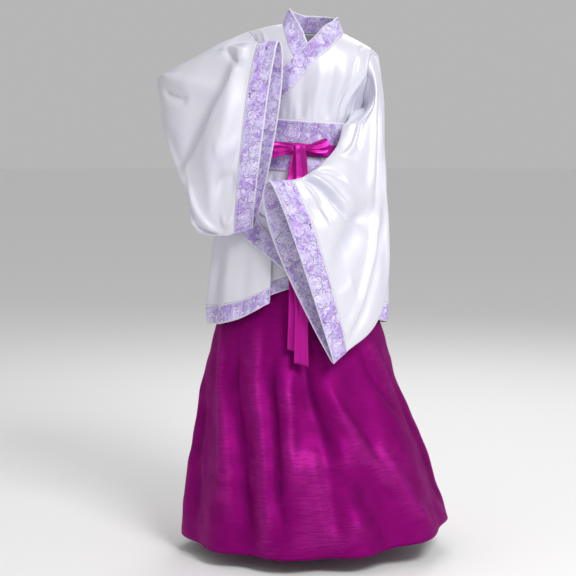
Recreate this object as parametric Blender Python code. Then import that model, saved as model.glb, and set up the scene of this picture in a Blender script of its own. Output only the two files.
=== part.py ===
"""Hanfu: a cross-collared jacket with wide sleeves over a long flared skirt, with a waistband and a
ribbon belt tied in a bow. Metres, +Z up. The front faces -Y and the wearer's left is +X. The origin
is in the middle of the shoulder line, where the jacket is held up."""

import bmesh
import bpy
import numpy as np

# Cloth and seams
WALL = 0.0015
SEAM = 0.0009
RIBBON_WALL = 0.0012
BAND_WIDTH = 0.045

# Shoulder, chest and armholes
CHEST_Z = -0.12
SHOULDER_DROP = 0.14
TOP_HALF_WIDTH = 0.1575
TOP_CENTRE_X = -0.0075
ARMHOLE_DROP = {"right": 0.22, "left": 0.21}
ARMHOLE_OPEN = 32.0
SIDE = {"right": -1, "left": 1}
NECK_CENTRE = (-0.008, 0.012)
COLLAR_LEAN = 0.25

# Lower edges, as drops of cloth from the shoulder line
HIP_DROP = 0.455
HEM_DROP = 0.742
HEM_BAND = 0.047
COLLAR_END_DROP = 0.305
WAISTBAND_TOP, WAISTBAND_LOW = 0.249, 0.3715
RIBBON_TOP, RIBBON_LOW = 0.303, 0.334
WAIST_TILT = 0.007

# Layers over the jacket's back, in metres along the outward normal
OUTER_LIFT = 0.0040
OUTER_LIFT_LOW = 0.0120
WAISTBAND_LIFT = 0.0070
RIBBON_LIFT = 0.0094

# Skirt
SKIRT_TOP_Z = -0.268
SKIRT_BAND_TOP_Z = -0.24

# Rings of the worn jacket
BODY_COLUMNS = ("z", "half_width", "half_depth", "centre_x")
BODY = (
    (-0.750, 0.2120, 0.170, -0.0470),
    (-0.680, 0.2170, 0.165, -0.0450),
    (-0.600, 0.2130, 0.154, -0.0425),
    (-0.510, 0.2050, 0.138, -0.0400),
    (-0.450, 0.1740, 0.122, -0.0360),
    (-0.355, 0.1160, 0.092, -0.0280),
    (-0.290, 0.1050, 0.085, -0.0245),
    (-0.230, 0.1130, 0.090, -0.0200),
    (-0.200, 0.1165, 0.092, -0.0185),
    (-0.120, 0.1500, 0.100, -0.0080),
)

# Shoulder line seen from the front
RIDGE_COLUMNS = ("x", "z")
RIDGE = (
    (-0.170, -0.017),
    (-0.081, 0.002),
    (0.000, 0.008),
    (0.065, -0.021),
    (0.099, -0.038),
    (0.129, -0.055),
    (0.152, -0.076),
)

# Seam between each front and its band. Stand is 0 where the band lies on the chest and 1 where it
# stands up round the neck.
EDGE_COLUMNS = ("drop", "angle", "stand")
OUTER_EDGE = (
    (0.000, 27.6, 0.85),
    (0.036, 26.5, 0.45),
    (0.063, 21.5, 0.15),
    (0.090, 15.5, 0.03),
    (0.135, -6.9, 0.00),
    (0.185, -25.0, 0.00),
    (0.219, -47.0, 0.00),
    (0.250, -56.0, 0.00),
    (0.305, -59.0, 0.00),
    (0.375, -52.0, 0.00),
    (0.430, -43.0, 0.00),
    (0.487, -32.0, 0.00),
    (0.532, -13.5, 0.00),
    (0.561, -3.5, 0.00),
    (0.600, 8.0, 0.00),
)
INNER_EDGE = (
    (0.000, -27.8, 0.85),
    (0.030, -27.8, 0.55),
    (0.055, -26.8, 0.15),
    (0.082, -24.4, 0.02),
    (0.116, -17.7, 0.00),
    (0.170, -8.0, 0.00),
    (0.230, 8.0, 0.00),
    (0.305, 20.0, 0.00),
    (0.400, 24.0, 0.00),
)

# Seam between the back and the collar
NECK_COLUMNS = ("angle", "drop", "stand")
BACK_NECK = (
    (-27.8, 0.000, 0.85),
    (-24.0, -0.032, 0.90),
    (-12.0, -0.054, 0.95),
    (0.0, -0.058, 0.95),
    (12.0, -0.054, 0.95),
    (24.0, -0.032, 0.90),
    (27.6, 0.000, 0.85),
)

# Lower edge of the outer front, from its corner to the side seam
OUTER_HEM_COLUMNS = ("angle", "drop")
OUTER_HEM = (
    (-20.0, 0.604),
    (0.0, 0.622),
    (30.0, 0.672),
    (60.0, 0.722),
    (90.0, 0.742),
)

# Inner front at its hem: the near layer folds back on itself, then runs on under it
FOLD_COLUMNS = ("share", "angle", "out", "drop")
FOLD = (
    (0.000, -90.0, 0.0000, 0.742),
    (0.200, -66.0, 0.0030, 0.738),
    (0.380, -43.0, 0.0085, 0.722),
    (0.500, -27.0, 0.0115, 0.697),
    (0.560, -20.0, 0.0120, 0.682),
    (0.580, -17.9, 0.0112, 0.678),
    (0.600, -17.6, 0.0085, 0.675),
    (0.630, -19.5, 0.0060, 0.671),
    (0.660, -21.0, 0.0035, 0.668),
    (0.690, -20.5, 0.0010, 0.665),
    (0.860, -10.0, 0.0000, 0.648),
    (1.000, 10.0, 0.0000, 0.628),
)
# The drops over which the fold rises off the body, then turns over on itself. While it turns, its
# side stands as an even ramp between two shares.
RISE_DROPS = (0.385, 0.475)
FOLD_DROPS = (0.41, 0.56)
RAMP_SHARES = (0.56, 0.70)
RAMP_OUT = 0.012

# Sleeve sections. Top and low are the two folded edges, the normal faces out of the first leaf, near
# and far are how far each leaf stands off the line between the edges, and belly moves the fullness
# towards the top edge.
SLEEVE_COLUMNS = (
    "share", "top_x", "top_y", "top_z", "low_x", "low_y", "low_z",
    "normal_x", "normal_y", "normal_z", "near", "far", "belly",
)
RIGHT_SLEEVE = (
    (0.00, -0.165, 0.000, -0.017, -0.135, 0.000, -0.200, 0.00, 1.00, 0.00, 0.050, 0.050, 0.3),
    (0.15, -0.235, 0.000, -0.046, -0.185, -0.005, -0.270, -0.05, 1.00, 0.00, 0.052, 0.050, 0.5),
    (0.32, -0.318, -0.010, -0.092, -0.245, -0.020, -0.345, -0.35, 0.93, -0.10, 0.044, 0.040, 0.4),
    (0.45, -0.380, -0.035, -0.128, -0.294, -0.050, -0.388, -0.95, 0.00, -0.31, 0.014, 0.030, 0.1),
    (0.56, -0.352, -0.072, -0.112, -0.291, -0.085, -0.445, -0.75, -0.65, -0.13, 0.030, 0.028, 0.2),
    (0.68, -0.300, -0.106, -0.088, -0.285, -0.118, -0.489, -0.50, -0.86, 0.00, 0.032, 0.028, 0.3),
    (0.80, -0.235, -0.142, -0.065, -0.245, -0.135, -0.498, -0.50, -0.86, 0.00, 0.032, 0.028, 0.3),
    (0.90, -0.180, -0.172, -0.052, -0.215, -0.143, -0.499, -0.53, -0.85, 0.00, 0.026, 0.028, 0.3),
    (1.00, -0.136, -0.195, -0.048, -0.195, -0.152, -0.492, -0.57, -0.82, 0.00, 0.020, 0.030, 0.3),
)
RIGHT_CUFF = (
    (0.00, -0.136, -0.195, -0.048, -0.195, -0.152, -0.492, -0.57, -0.82, 0.00, 0.020, 0.030, 0.3),
    (0.50, -0.113, -0.205, -0.048, -0.172, -0.158, -0.487, -0.57, -0.82, 0.00, 0.016, 0.034, 0.3),
    (1.00, -0.090, -0.215, -0.049, -0.150, -0.165, -0.478, -0.57, -0.82, 0.00, 0.012, 0.038, 0.3),
)
LEFT_SLEEVE = (
    (0.22, 0.064, -0.105, -0.238, 0.157, -0.018, -0.228, 0.66, -0.75, 0.00, 0.036, 0.018, 0.0),
    (0.40, 0.045, -0.140, -0.292, 0.158, -0.040, -0.396, 0.66, -0.74, -0.02, 0.036, 0.016, 0.0),
    (0.55, 0.020, -0.172, -0.318, 0.166, -0.070, -0.490, 0.66, -0.74, 0.05, 0.036, 0.014, 0.1),
    (0.70, -0.009, -0.202, -0.343, 0.168, -0.112, -0.600, 0.66, -0.74, 0.08, 0.034, 0.016, 0.2),
    (0.85, -0.035, -0.224, -0.358, 0.134, -0.165, -0.712, 0.67, -0.74, 0.10, 0.030, 0.022, 0.3),
    (1.00, -0.061, -0.240, -0.364, 0.068, -0.216, -0.763, 0.67, -0.74, 0.13, 0.024, 0.030, 0.4),
)
LEFT_CUFF = (
    (0.00, -0.061, -0.240, -0.364, 0.068, -0.216, -0.763, 0.67, -0.74, 0.13, 0.024, 0.030, 0.4),
    (0.50, -0.087, -0.250, -0.365, 0.052, -0.225, -0.777, 0.67, -0.74, 0.13, 0.018, 0.042, 0.5),
    (1.00, -0.112, -0.259, -0.366, 0.037, -0.233, -0.789, 0.67, -0.74, 0.13, 0.012, 0.050, 0.6),
)

# The left sleeve leaves its armhole outwards and bends down into its first section. This is how far
# it is led out, for places round it: from the armpit over the front to the shoulder, and back behind
BEND_COLUMNS = ("round", "x", "y", "z")
BEND = (
    (0.000, 0.016, -0.027, -0.018),
    (0.068, 0.030, -0.024, -0.016),
    (0.250, 0.032, -0.012, -0.045),
    (0.500, 0.008, 0.000, -0.070),
    (0.750, 0.030, 0.002, -0.060),
    (0.822, 0.026, -0.004, -0.059),
    (0.932, 0.014, -0.012, -0.040),
    (1.000, 0.016, -0.027, -0.018),
)

# The raised fold on the right forearm's first leaf: where along the sleeve it starts, for each share
# of the way down
RAISED_FOLD_COLUMNS = ("down", "share")
RAISED_FOLD = ((0.00, 0.93), (0.10, 0.90), (0.35, 0.80), (0.55, 0.70), (0.70, 0.60))
RAISED_FOLD_HEIGHT = 0.016
RAISED_FOLD_WIDTH = 0.05

# Rings of the skirt
SKIRT_COLUMNS = ("z", "half_width", "half_depth", "centre_x")
SKIRT = (
    (-1.250, 0.330, 0.280, 0.0020),
    (-1.210, 0.326, 0.273, 0.0000),
    (-1.117, 0.303, 0.256, -0.0090),
    (-1.040, 0.287, 0.242, -0.0150),
    (-0.945, 0.266, 0.221, -0.0235),
    (-0.850, 0.232, 0.195, -0.0400),
    (-0.760, 0.211, 0.172, -0.0410),
    (-0.710, 0.197, 0.157, -0.0425),
    (-0.600, 0.185, 0.138, -0.0415),
    (-0.510, 0.174, 0.122, -0.0390),
    (-0.450, 0.150, 0.107, -0.0360),
    (-0.355, 0.1115, 0.0883, -0.0280),
    (-0.290, 0.1018, 0.0818, -0.0245),
    (-0.230, 0.1095, 0.0865, -0.0200),
)
SKIRT_HEM_COLUMNS = ("angle", "z")
SKIRT_HEM = (
    (-180.0, -1.238),
    (-90.0, -1.242),
    (-40.0, -1.244),
    (0.0, -1.243),
    (40.0, -1.228),
    (90.0, -1.208),
    (180.0, -1.238),
)

# Soft folds of the skirt: where each runs, its half width, and how far it stands out at the hem
PLEAT_COLUMNS = ("angle", "half_width", "out")
PLEATS = (
    (-172.0, 12.0, 0.011), (-150.0, 11.0, -0.012), (-131.0, 11.0, 0.010), (-111.0, 10.0, -0.009),
    (-84.0, 11.0, 0.006), (-64.0, 9.0, -0.010), (-47.0, 9.0, 0.011), (-31.0, 8.0, -0.012),
    (-14.0, 9.0, 0.012), (3.0, 8.0, -0.015), (18.0, 8.0, 0.010), (34.0, 9.0, -0.014),
    (52.0, 10.0, 0.010), (72.0, 9.0, -0.008), (92.0, 10.0, 0.004), (112.0, 10.0, -0.010),
    (131.0, 10.0, 0.011), (150.0, 10.0, -0.012), (167.0, 8.0, 0.006),
)
PLEAT_TOP_Z, PLEAT_FULL_Z = -0.60, -1.20
SKIRT_ROWS = np.array([0.0, 0.028, 0.058, 0.09, 0.13, 0.18, 0.24, 0.33, 0.44, 0.53, 0.62, 0.71, 0.8, 0.9, 1.0])

# Ribbon: path of each tail's middle line, with its half width
TAIL_COLUMNS = ("share", "x", "y", "z", "half_width")
TAILS = {
    "ribbon_tail_right": (
        (0.00, -0.050, -0.1040, -0.3115, 0.007),
        (0.15, -0.058, -0.1080, -0.362, 0.012),
        (0.35, -0.056, -0.1440, -0.460, 0.015),
        (0.65, -0.052, -0.1830, -0.600, 0.016),
        (0.85, -0.052, -0.1900, -0.700, 0.016),
        (1.00, -0.0525, -0.1940, -0.766, 0.017),
    ),
    "ribbon_tail_left": (
        (0.00, -0.036, -0.1095, -0.3084, 0.011),
        (0.15, -0.035, -0.1150, -0.362, 0.014),
        (0.35, -0.036, -0.1510, -0.460, 0.016),
        (0.65, -0.038, -0.1885, -0.600, 0.016),
        (0.85, -0.037, -0.1955, -0.710, 0.016),
        (1.00, -0.0365, -0.2010, -0.797, 0.017),
    ),
}
KNOT_MIDDLE = (-0.0415, -0.1037, -0.297)
KNOT_SIZE = (0.0165, 0.0085, 0.0135)
LOOP_COLUMNS = ("root_x", "root_z", "reach_x", "reach_z", "depth", "half_width")
LOOPS = {
    "bow_loop_right": (-0.0562, -0.297, -0.0560, -0.004, 0.0065, 0.0160),
    "bow_loop_left": (-0.0268, -0.297, 0.0560, 0.008, 0.0065, 0.0170),
}
LOOP_BACK_Y = -0.0985

COLOURS = {
    "white satin": (0.92, 0.92, 0.95, 0.35, 0.0),
    "lavender brocade": (0.62, 0.55, 0.80, 0.55, 0.0),
    "magenta satin": (0.33, 0.006, 0.18, 0.38, 0.0),
    "magenta ribbon": (0.45, 0.008, 0.26, 0.3, 0.0),
}


def along(table, at):
    """Columns of a table at places along its first one, smooth and never past a row's values."""
    rows = np.array(table, float)
    place, value = rows[:, 0], rows[:, 1:]
    step = np.diff(place)
    rise = np.diff(value, axis=0) / step[:, None]
    before, after = rise[:-1], rise[1:]
    total = np.where(before + after == 0, 1, before + after)
    slope = np.vstack([rise[:1], np.where(before * after > 0, 2 * before * after / total, 0), rise[-1:]])
    at = np.clip(np.asarray(at, float), place[0], place[-1])
    i = np.clip(np.searchsorted(place, at, side="right") - 1, 0, len(step) - 1)
    u = ((at - place[i]) / step[i])[..., None]
    h = step[i][..., None]
    ends = (1 + 2 * u) * (1 - u) ** 2 * value[i] + u**2 * (3 - 2 * u) * value[i + 1]
    return ends + h * (u * (1 - u) ** 2 * slope[i] - u**2 * (1 - u) * slope[i + 1])


def smooth(t):
    t = np.clip(t, 0, 1)
    return t * t * (3 - 2 * t)


def between(ends, at):
    """Soft step from 0 at the first end to 1 at the second."""
    return smooth((at - ends[0]) / (ends[1] - ends[0]))


def unit(vectors):
    return vectors / np.linalg.norm(vectors, axis=-1, keepdims=True)


def on_body(angle, drop):
    """Point of the jacket's middle surface. The angle in degrees goes from the front to the wearer's
    left. The drop is the cloth's length from the shoulder line, down the back where it is negative."""
    turn = np.radians(angle)
    down = np.abs(drop)
    shoulder = np.clip(down / SHOULDER_DROP, 0, 1)
    ring = along(BODY, CHEST_Z - np.maximum(down - SHOULDER_DROP, 0))
    wide = np.where(shoulder < 1, TOP_HALF_WIDTH + (ring[..., 0] - TOP_HALF_WIDTH) * shoulder, ring[..., 0])
    middle = np.where(shoulder < 1, TOP_CENTRE_X + (ring[..., 2] - TOP_CENTRE_X) * shoulder, ring[..., 2])
    x = middle + wide * np.sin(turn)
    ridge = along(RIDGE, x)[..., 0]
    lean = shoulder * np.pi / 2
    z = CHEST_Z + (ridge - CHEST_Z) * np.cos(lean) - np.maximum(down - SHOULDER_DROP, 0)
    y = -np.sign(drop) * ring[..., 1] * np.cos(turn) * np.sin(lean)
    return np.stack([x, y, z], -1)


def body_steps(angle, drop):
    """How far a degree round and a metre down move a point of the jacket."""
    round_by, down_by = 0.5, 0.002
    across = (on_body(angle + round_by, drop) - on_body(angle - round_by, drop)) / (2 * round_by)
    along_drop = (on_body(angle, drop + down_by) - on_body(angle, drop - down_by)) / (2 * down_by)
    return across, along_drop


def body(angle, drop, out=0.0):
    """Point of the jacket, moved out from its middle surface."""
    angle, drop, out = np.broadcast_arrays(*(np.asarray(a, float) for a in (angle, drop, out)))
    across, along_drop = body_steps(angle, drop)
    return on_body(angle, drop) + unit(np.cross(along_drop, across)) * out[..., None]


def armhole_angle(side, drop):
    """Angle of the armhole's edge, and of the side seam under it, without the side's sign."""
    share = np.clip(np.abs(drop) / ARMHOLE_DROP[side], 0, 1)
    return 90 - ARMHOLE_OPEN * np.sin(np.pi * share)


def seam_angle(drop, width=SEAM):
    """Degrees that a seam's width takes up round the jacket at this drop."""
    across, _ = body_steps(np.full_like(drop, 60.0), drop)
    return width / np.linalg.norm(across, axis=-1)


def outer_lift(angle, drop):
    """The outer front stands off the inner one, most where the hem of the inner one folds."""
    over = smooth((62 - angle) / 22) * smooth((drop - 0.02) / 0.08)
    return over * (OUTER_LIFT + OUTER_LIFT_LOW * between(RISE_DROPS, drop))


def grid_mesh(name, points, closed):
    """Mesh over a grid of points, rows by columns. A closed one joins its last column to its first."""
    rows, columns = points.shape[:2]
    index = np.arange(rows * columns).reshape(rows, columns)
    if closed:
        index = np.hstack([index, index[:, :1]])
    faces = np.stack([index[:-1, :-1], index[1:, :-1], index[1:, 1:], index[:-1, 1:]], -1)
    mesh = bpy.data.meshes.new(name)
    mesh.from_pydata(points.reshape(-1, 3).tolist(), [], faces.reshape(-1, 4).tolist())
    mesh.validate()
    return mesh


def add_object(name, mesh, material):
    mesh.materials.append(material)
    made = bpy.data.objects.new(name, mesh)
    bpy.context.scene.collection.objects.link(made)
    return made


def add_cloth(name, points, material, closed=False, wall=WALL):
    """A cloth wall of even thickness about a grid of points."""
    mesh = grid_mesh(name, points, closed)
    mesh.shade_smooth()
    made = add_object(name, mesh, material)
    solid = made.modifiers.new("Wall", "SOLIDIFY")
    solid.thickness = wall
    solid.offset = 0
    return made


def make_material(name):
    red, green, blue, roughness, metallic = COLOURS[name]
    material = bpy.data.materials.new(name)
    material.use_nodes = True
    shader = material.node_tree.nodes["Principled BSDF"]
    shader.inputs["Base Color"].default_value = (red, green, blue, 1)
    shader.inputs["Roughness"].default_value = roughness
    shader.inputs["Metallic"].default_value = metallic
    return material


# Jacket

COLLAR_DROPS = np.array([0.0, 0.018, 0.036, 0.063, 0.09, 0.112, 0.135, 0.16, 0.185, 0.202, 0.219, 0.235,
                         0.25, 0.275, COLLAR_END_DROP])
DROPS = np.concatenate([COLLAR_DROPS, [0.335, 0.365, 0.395, 0.425, 0.455, 0.487, 0.532, 0.585, 0.64,
                                       HEM_DROP - HEM_BAND]])
BAND_SHARES = np.array([0.0, 0.5, 1.0])


def neck_drop(angle):
    """Drop of the back neckline at an angle, zero outside the neck."""
    inside = np.abs(angle) < 27.7
    return np.where(inside, -along(BACK_NECK, angle)[..., 0], 0)


def parted(points, drop, side):
    """Points drawn a seam's width away from the shoulder line, to the front with side -1."""
    points[..., 1] += side * SEAM * (1 - smooth(drop / 0.03))
    return points


def back_grid(drops, shares):
    """Back: columns run between the armholes and side seams, rows from the neckline to the hem."""
    down = drops[:, None]
    right = -(armhole_angle("right", down) - seam_angle(down))
    left = armhole_angle("left", down) - seam_angle(down)
    angle = right + (left - right) * shares[None, :]
    top = neck_drop(angle) + 1.5 * SEAM
    drop = top + down * (HEM_DROP - top) / HEM_DROP
    return angle, drop


def make_back(satin, brocade):
    shares = np.linspace(0, 1, 19)
    angle, drop = back_grid(DROPS, shares)
    add_cloth("jacket_back", parted(body(angle, -drop), drop, 1), satin)
    low = HEM_DROP - HEM_BAND + SEAM + BAND_SHARES * (HEM_BAND - SEAM)
    angle, drop = back_grid(low, shares)
    add_cloth("hem_band_back", body(angle, -drop), brocade)


def hemmed(down, hem):
    """Rows of a front, level down to the hip and from there shortened to its own hem."""
    low = HIP_DROP + (down - HIP_DROP) * (hem - HIP_DROP) / (HEM_DROP - HIP_DROP)
    return np.where(down > HIP_DROP, low, np.maximum(down, SEAM) + 0 * hem)


def outer_grid(drops, shares):
    """Outer front: columns run from the left armhole and side seam to the edge band's seam."""
    down = drops[:, None]
    side = armhole_angle("left", down) - seam_angle(down)
    edge = along(OUTER_EDGE, down)[..., 0] + seam_angle(down)
    angle = side + (edge - side) * shares[None, :]
    hem = along(OUTER_HEM, angle)[..., 0]
    return angle, hemmed(down, hem)


def make_outer_front(satin, brocade):
    shares = np.linspace(0, 1, 15)
    angle, drop = outer_grid(DROPS, shares)
    add_cloth("jacket_front_left", parted(body(angle, drop, outer_lift(angle, drop)), drop, -1), satin)
    low = HEM_DROP - HEM_BAND + SEAM + BAND_SHARES * (HEM_BAND - SEAM)
    angle, drop = outer_grid(low, shares)
    add_cloth("hem_band_front_left", body(angle, drop, outer_lift(angle, drop)), brocade)


def inner_grid(drops, shares):
    """Inner front: straight down to the waist, then gathered into one deep fold at the hem."""
    down = drops[:, None]
    share = shares[None, :]
    side = -(armhole_angle("right", down) - seam_angle(down))
    edge = along(INNER_EDGE, down)[..., 0] - seam_angle(down)
    fold = along(FOLD, share)
    folded = between(FOLD_DROPS, down)
    straight = side + (edge - side) * share
    angle = straight + (fold[..., 0] - straight) * folded
    hem = fold[..., 2]
    ramp = RAMP_OUT * np.clip((RAMP_SHARES[1] - share) / (RAMP_SHARES[1] - RAMP_SHARES[0]), 0, 1)
    rising = np.where(share > RAMP_SHARES[0], ramp, fold[..., 1])
    out = rising + (fold[..., 1] - rising) * folded
    return angle, hemmed(down, hem), out * between(RISE_DROPS, down)


def make_inner_front(satin, brocade):
    shares = np.array([row[0] for row in FOLD])
    shares = np.sort(np.append(shares, [0.1, 0.29, 0.44, 0.79, 0.93]))
    angle, drop, out = inner_grid(DROPS, shares)
    add_cloth("jacket_front_right", parted(body(angle, drop, out), drop, -1), satin)
    low = HEM_DROP - HEM_BAND + 1.6 * SEAM + BAND_SHARES * (HEM_BAND - 1.6 * SEAM)
    angle, drop, out = inner_grid(low, shares)
    add_cloth("hem_band_front_right", body(angle, drop, out), brocade)


def band_grid(angle, drop, stand, lift, widths):
    """A band of cloth along a seam. It lies on the jacket, or stands up round the neck by its stand."""
    across, along_drop = body_steps(angle, drop)
    wide = np.linalg.norm(across, axis=-1)
    long = np.linalg.norm(along_drop, axis=-1)
    tangent = unit(np.stack([np.gradient(angle) * wide, np.gradient(drop) * long], -1))
    width = widths[None, :]
    lying = body(
        angle[:, None] + (tangent[:, 1] / wide)[:, None] * width,
        drop[:, None] - (tangent[:, 0] / long)[:, None] * width,
        lift[:, None],
    )
    seam = body(angle, drop, lift)
    outward = unit(seam[:, :2] - np.array(NECK_CENTRE))
    rise = unit(np.column_stack([-COLLAR_LEAN * outward, np.ones(len(angle))]))
    standing = seam[:, None] + rise[:, None] * width[..., None]
    return lying + (standing - lying) * stand[:, None, None]


def collar_path(outer_drops, neck_angles, inner_drops):
    """Seam of the collar from the outer front's waist, round the neck, to the inner front's waist."""
    outer = along(OUTER_EDGE, outer_drops)
    neck = along(BACK_NECK, neck_angles)
    inner = along(INNER_EDGE, inner_drops)
    angle = np.concatenate([outer[:, 0], neck_angles, inner[:, 0]])
    drop = np.concatenate([outer_drops, neck[:, 0], inner_drops])
    stand = np.concatenate([outer[:, 1], neck[:, 1], inner[:, 1]])
    lift = np.concatenate([outer_lift(outer[:, 0], outer_drops), 0 * neck_angles, 0 * inner_drops])
    return angle, drop, stand, lift


def make_collar(brocade):
    outer_drops = COLLAR_DROPS[:0:-1]
    neck_angles = np.array([27.6, 24.0, 12.0, 0.0, -12.0, -24.0, -27.8])
    inner_drops = COLLAR_DROPS[1:]
    path = collar_path(outer_drops, neck_angles, inner_drops)
    add_cloth("collar", band_grid(*path, np.linspace(SEAM / 2, BAND_WIDTH, 4)), brocade)


def make_edge_band(brocade):
    drops = np.array([0.592, 0.578, 0.561, 0.548, 0.532, 0.51, 0.487, 0.455, 0.425, 0.395, 0.365, 0.335, 0.308])
    edge = along(OUTER_EDGE, drops)
    lift = outer_lift(edge[:, 0], drops) + 0 * drops
    path = (edge[:, 0], drops, 0 * drops, lift)
    add_cloth("front_edge_band", band_grid(*path, np.linspace(SEAM / 2, BAND_WIDTH, 3)), brocade)


# Sleeves

def loop_shares(count):
    """Places round a section, closer together at its two folded edges."""
    turn = np.arange(count) / count
    return turn + 0.03 * np.sin(4 * np.pi * turn)


def sleeve_grid(table, shares, around):
    """Sections of a sleeve: each is a flattened ring between its top and its low edge."""
    rows = along(table, shares)[:, None, :]
    top, low, normal = rows[..., 0:3], rows[..., 3:6], rows[..., 6:9]
    near, far, belly = rows[..., 9], rows[..., 10], rows[..., 11]
    turn = 2 * np.pi * around[None, :]
    down = (1 - np.cos(turn)) / 2
    full = np.sin(turn) * (1 + belly * np.cos(turn))
    span = low - top
    normal = unit(normal - unit(span) * (normal * unit(span)).sum(-1, keepdims=True))
    off = full * np.where(full > 0, near, far)
    return top + span * down[..., None] + normal * off[..., None]


def armhole_ring(side, around):
    """The armhole's edge in the same order as a sleeve's sections."""
    turn = 2 * np.pi * around
    down = (1 - np.cos(turn)) / 2
    if side == "left":
        down = 1 - down
    drop = ARMHOLE_DROP[side] * down
    front = np.where((around <= 0.5) == (side == "left"), 1, -1)
    angle = SIDE[side] * (armhole_angle(side, drop) + seam_angle(drop))
    return body(angle, front * np.maximum(drop, 1e-6))


def joined_to_armhole(grid, table, shares, around, side, reach=0.2):
    """Sleeve sections near the armhole, drawn to its edge."""
    start = sleeve_grid(table, np.array([0.0]), around)[0]
    pull = (1 - smooth(shares / reach))[:, None, None]
    return grid + pull * (armhole_ring(side, around) - start)[None]


def bent_from_armhole(table, shares, around):
    """Sleeve sections that curve from the left armhole to the table's first one, then follow it."""
    first = table[0][0]
    grid = sleeve_grid(table, shares, around)
    ring = armhole_ring("left", around)
    led = ring + along(BEND, around)
    t = np.clip(shares / first, 0, 1)[:, None, None]
    curve = (1 - t) ** 2 * ring + 2 * t * (1 - t) * led + t**2 * sleeve_grid(table, np.array([first]), around)
    return np.where(t < 1, curve, grid)


def raised_fold(shares, around):
    """How far the right forearm's first leaf is lifted where its upper cloth folds over."""
    turn = 2 * np.pi * around
    down = (1 - np.cos(turn)) / 2
    start = along(RAISED_FOLD, down)[:, 0]
    leaf = np.sin(turn).clip(0, 1) ** 0.5 * (around < 0.5)
    rise = smooth((shares[:, None] - start[None, :]) / RAISED_FOLD_WIDTH + 0.5)
    fade = 1 - smooth((shares[:, None] - 0.9) / 0.1)
    return RAISED_FOLD_HEIGHT * rise * fade * leaf[None, :] * (1 - smooth((down - 0.55) / 0.2))[None, :]


def make_sleeves(satin, brocade):
    around = loop_shares(20)
    shares = np.array([0.004, 0.05, 0.1, 0.16, 0.24, 0.32, 0.39, 0.45, 0.5, 0.56, 0.62, 0.68, 0.74, 0.8,
                       0.85, 0.9, 0.95, 0.997])
    grid = joined_to_armhole(sleeve_grid(RIGHT_SLEEVE, shares, around), RIGHT_SLEEVE, shares, around, "right")
    normals = unit(along(RIGHT_SLEEVE, shares)[:, 6:9])
    grid = grid + raised_fold(shares, around)[..., None] * normals[:, None, :]
    add_cloth("sleeve_right", grid, satin, closed=True)
    shares = np.array([0.008, 0.04, 0.08, 0.12, 0.17, 0.22, 0.3, 0.4, 0.48, 0.55, 0.62, 0.7, 0.78, 0.85, 0.92, 0.998])
    grid = bent_from_armhole(LEFT_SLEEVE, shares, around)
    add_cloth("sleeve_left", grid, satin, closed=True)
    cuff = np.linspace(0.015, 1, 4)
    add_cloth("cuff_right", sleeve_grid(RIGHT_CUFF, cuff, around), brocade, closed=True)
    add_cloth("cuff_left", sleeve_grid(LEFT_CUFF, cuff, around), brocade, closed=True)


# Waist

def waist_ring(top, low, lift, rows, count):
    angle = (np.arange(count) * 360 / count - 180)[None, :]
    drop = np.linspace(top, low, rows)[:, None] + WAIST_TILT * np.sin(np.radians(angle))
    side = np.where(np.abs(angle) > 90, -1, 1)
    front = np.where(np.abs(angle) > 90, np.sign(angle) * 180 - angle, angle)
    return body(front, side * drop, lift)


def make_waist(brocade, ribbon):
    add_cloth("waistband", waist_ring(WAISTBAND_TOP, WAISTBAND_LOW, WAISTBAND_LIFT, 6, 40), brocade, closed=True)
    add_cloth("ribbon_belt", waist_ring(RIBBON_TOP, RIBBON_LOW, RIBBON_LIFT, 2, 40), ribbon, closed=True,
              wall=RIBBON_WALL)


def make_knot(ribbon):
    """The knot: a rounded wrap, flattened front to back."""
    shape = bmesh.new()
    bmesh.ops.create_uvsphere(shape, u_segments=14, v_segments=8, radius=1)
    for corner in shape.verts:
        for axis in range(3):
            share = abs(corner.co[axis]) ** 0.8
            corner.co[axis] = np.copysign(share, corner.co[axis]) * KNOT_SIZE[axis] + KNOT_MIDDLE[axis]
    mesh = bpy.data.meshes.new("ribbon_knot")
    shape.to_mesh(mesh)
    shape.free()
    mesh.shade_smooth()
    add_object("ribbon_knot", mesh, ribbon)


def make_loops(ribbon):
    """Bow loops: a ribbon that leaves the knot behind, turns round at its reach and comes back in front."""
    for name, (root_x, root_z, reach_x, reach_z, depth, half_width) in LOOPS.items():
        share = np.linspace(0, 1, 15)[:, None]
        across = np.linspace(-1, 1, 4)[None, :]
        out = np.sin(np.pi * share) ** 0.75
        wide = half_width * (0.45 + 0.55 * out)
        x = root_x + reach_x * out + 0 * across
        y = LOOP_BACK_Y - depth * (1 - np.cos(np.pi * share)) + 0 * across
        z = root_z + reach_z * out + wide * across
        add_cloth(name, np.stack([x, y, z], -1), ribbon, wall=RIBBON_WALL)


def make_tails(ribbon):
    for name, table in TAILS.items():
        middle = along(table, np.linspace(0, 1, 15))
        across = np.linspace(-1, 1, 3)[None, :]
        x = middle[:, :1] + middle[:, 3:4] * across
        y = middle[:, 1:2] - 0.0015 * np.abs(across)
        z = middle[:, 2:3] + 0 * across
        add_cloth(name, np.stack([x, y + 0 * x, z + 0 * x], -1), ribbon, wall=RIBBON_WALL)


# Skirt

def skirt(angle, z):
    """Point of the skirt at an angle from the front and a height, with its soft folds."""
    ring = along(SKIRT, z)
    turn = np.radians(angle)
    grow = smooth((PLEAT_TOP_Z - z) / (PLEAT_TOP_Z - PLEAT_FULL_Z))
    wave = sum(out * np.exp(-(((angle - middle + 180) % 360 - 180) / half) ** 2)
               for middle, half, out in PLEATS)
    off = grow * wave
    x = ring[..., 2] + (ring[..., 0] + off) * np.sin(turn)
    y = -(ring[..., 1] + off) * np.cos(turn)
    return np.stack([x, y, z + 0 * x], -1)


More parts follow.
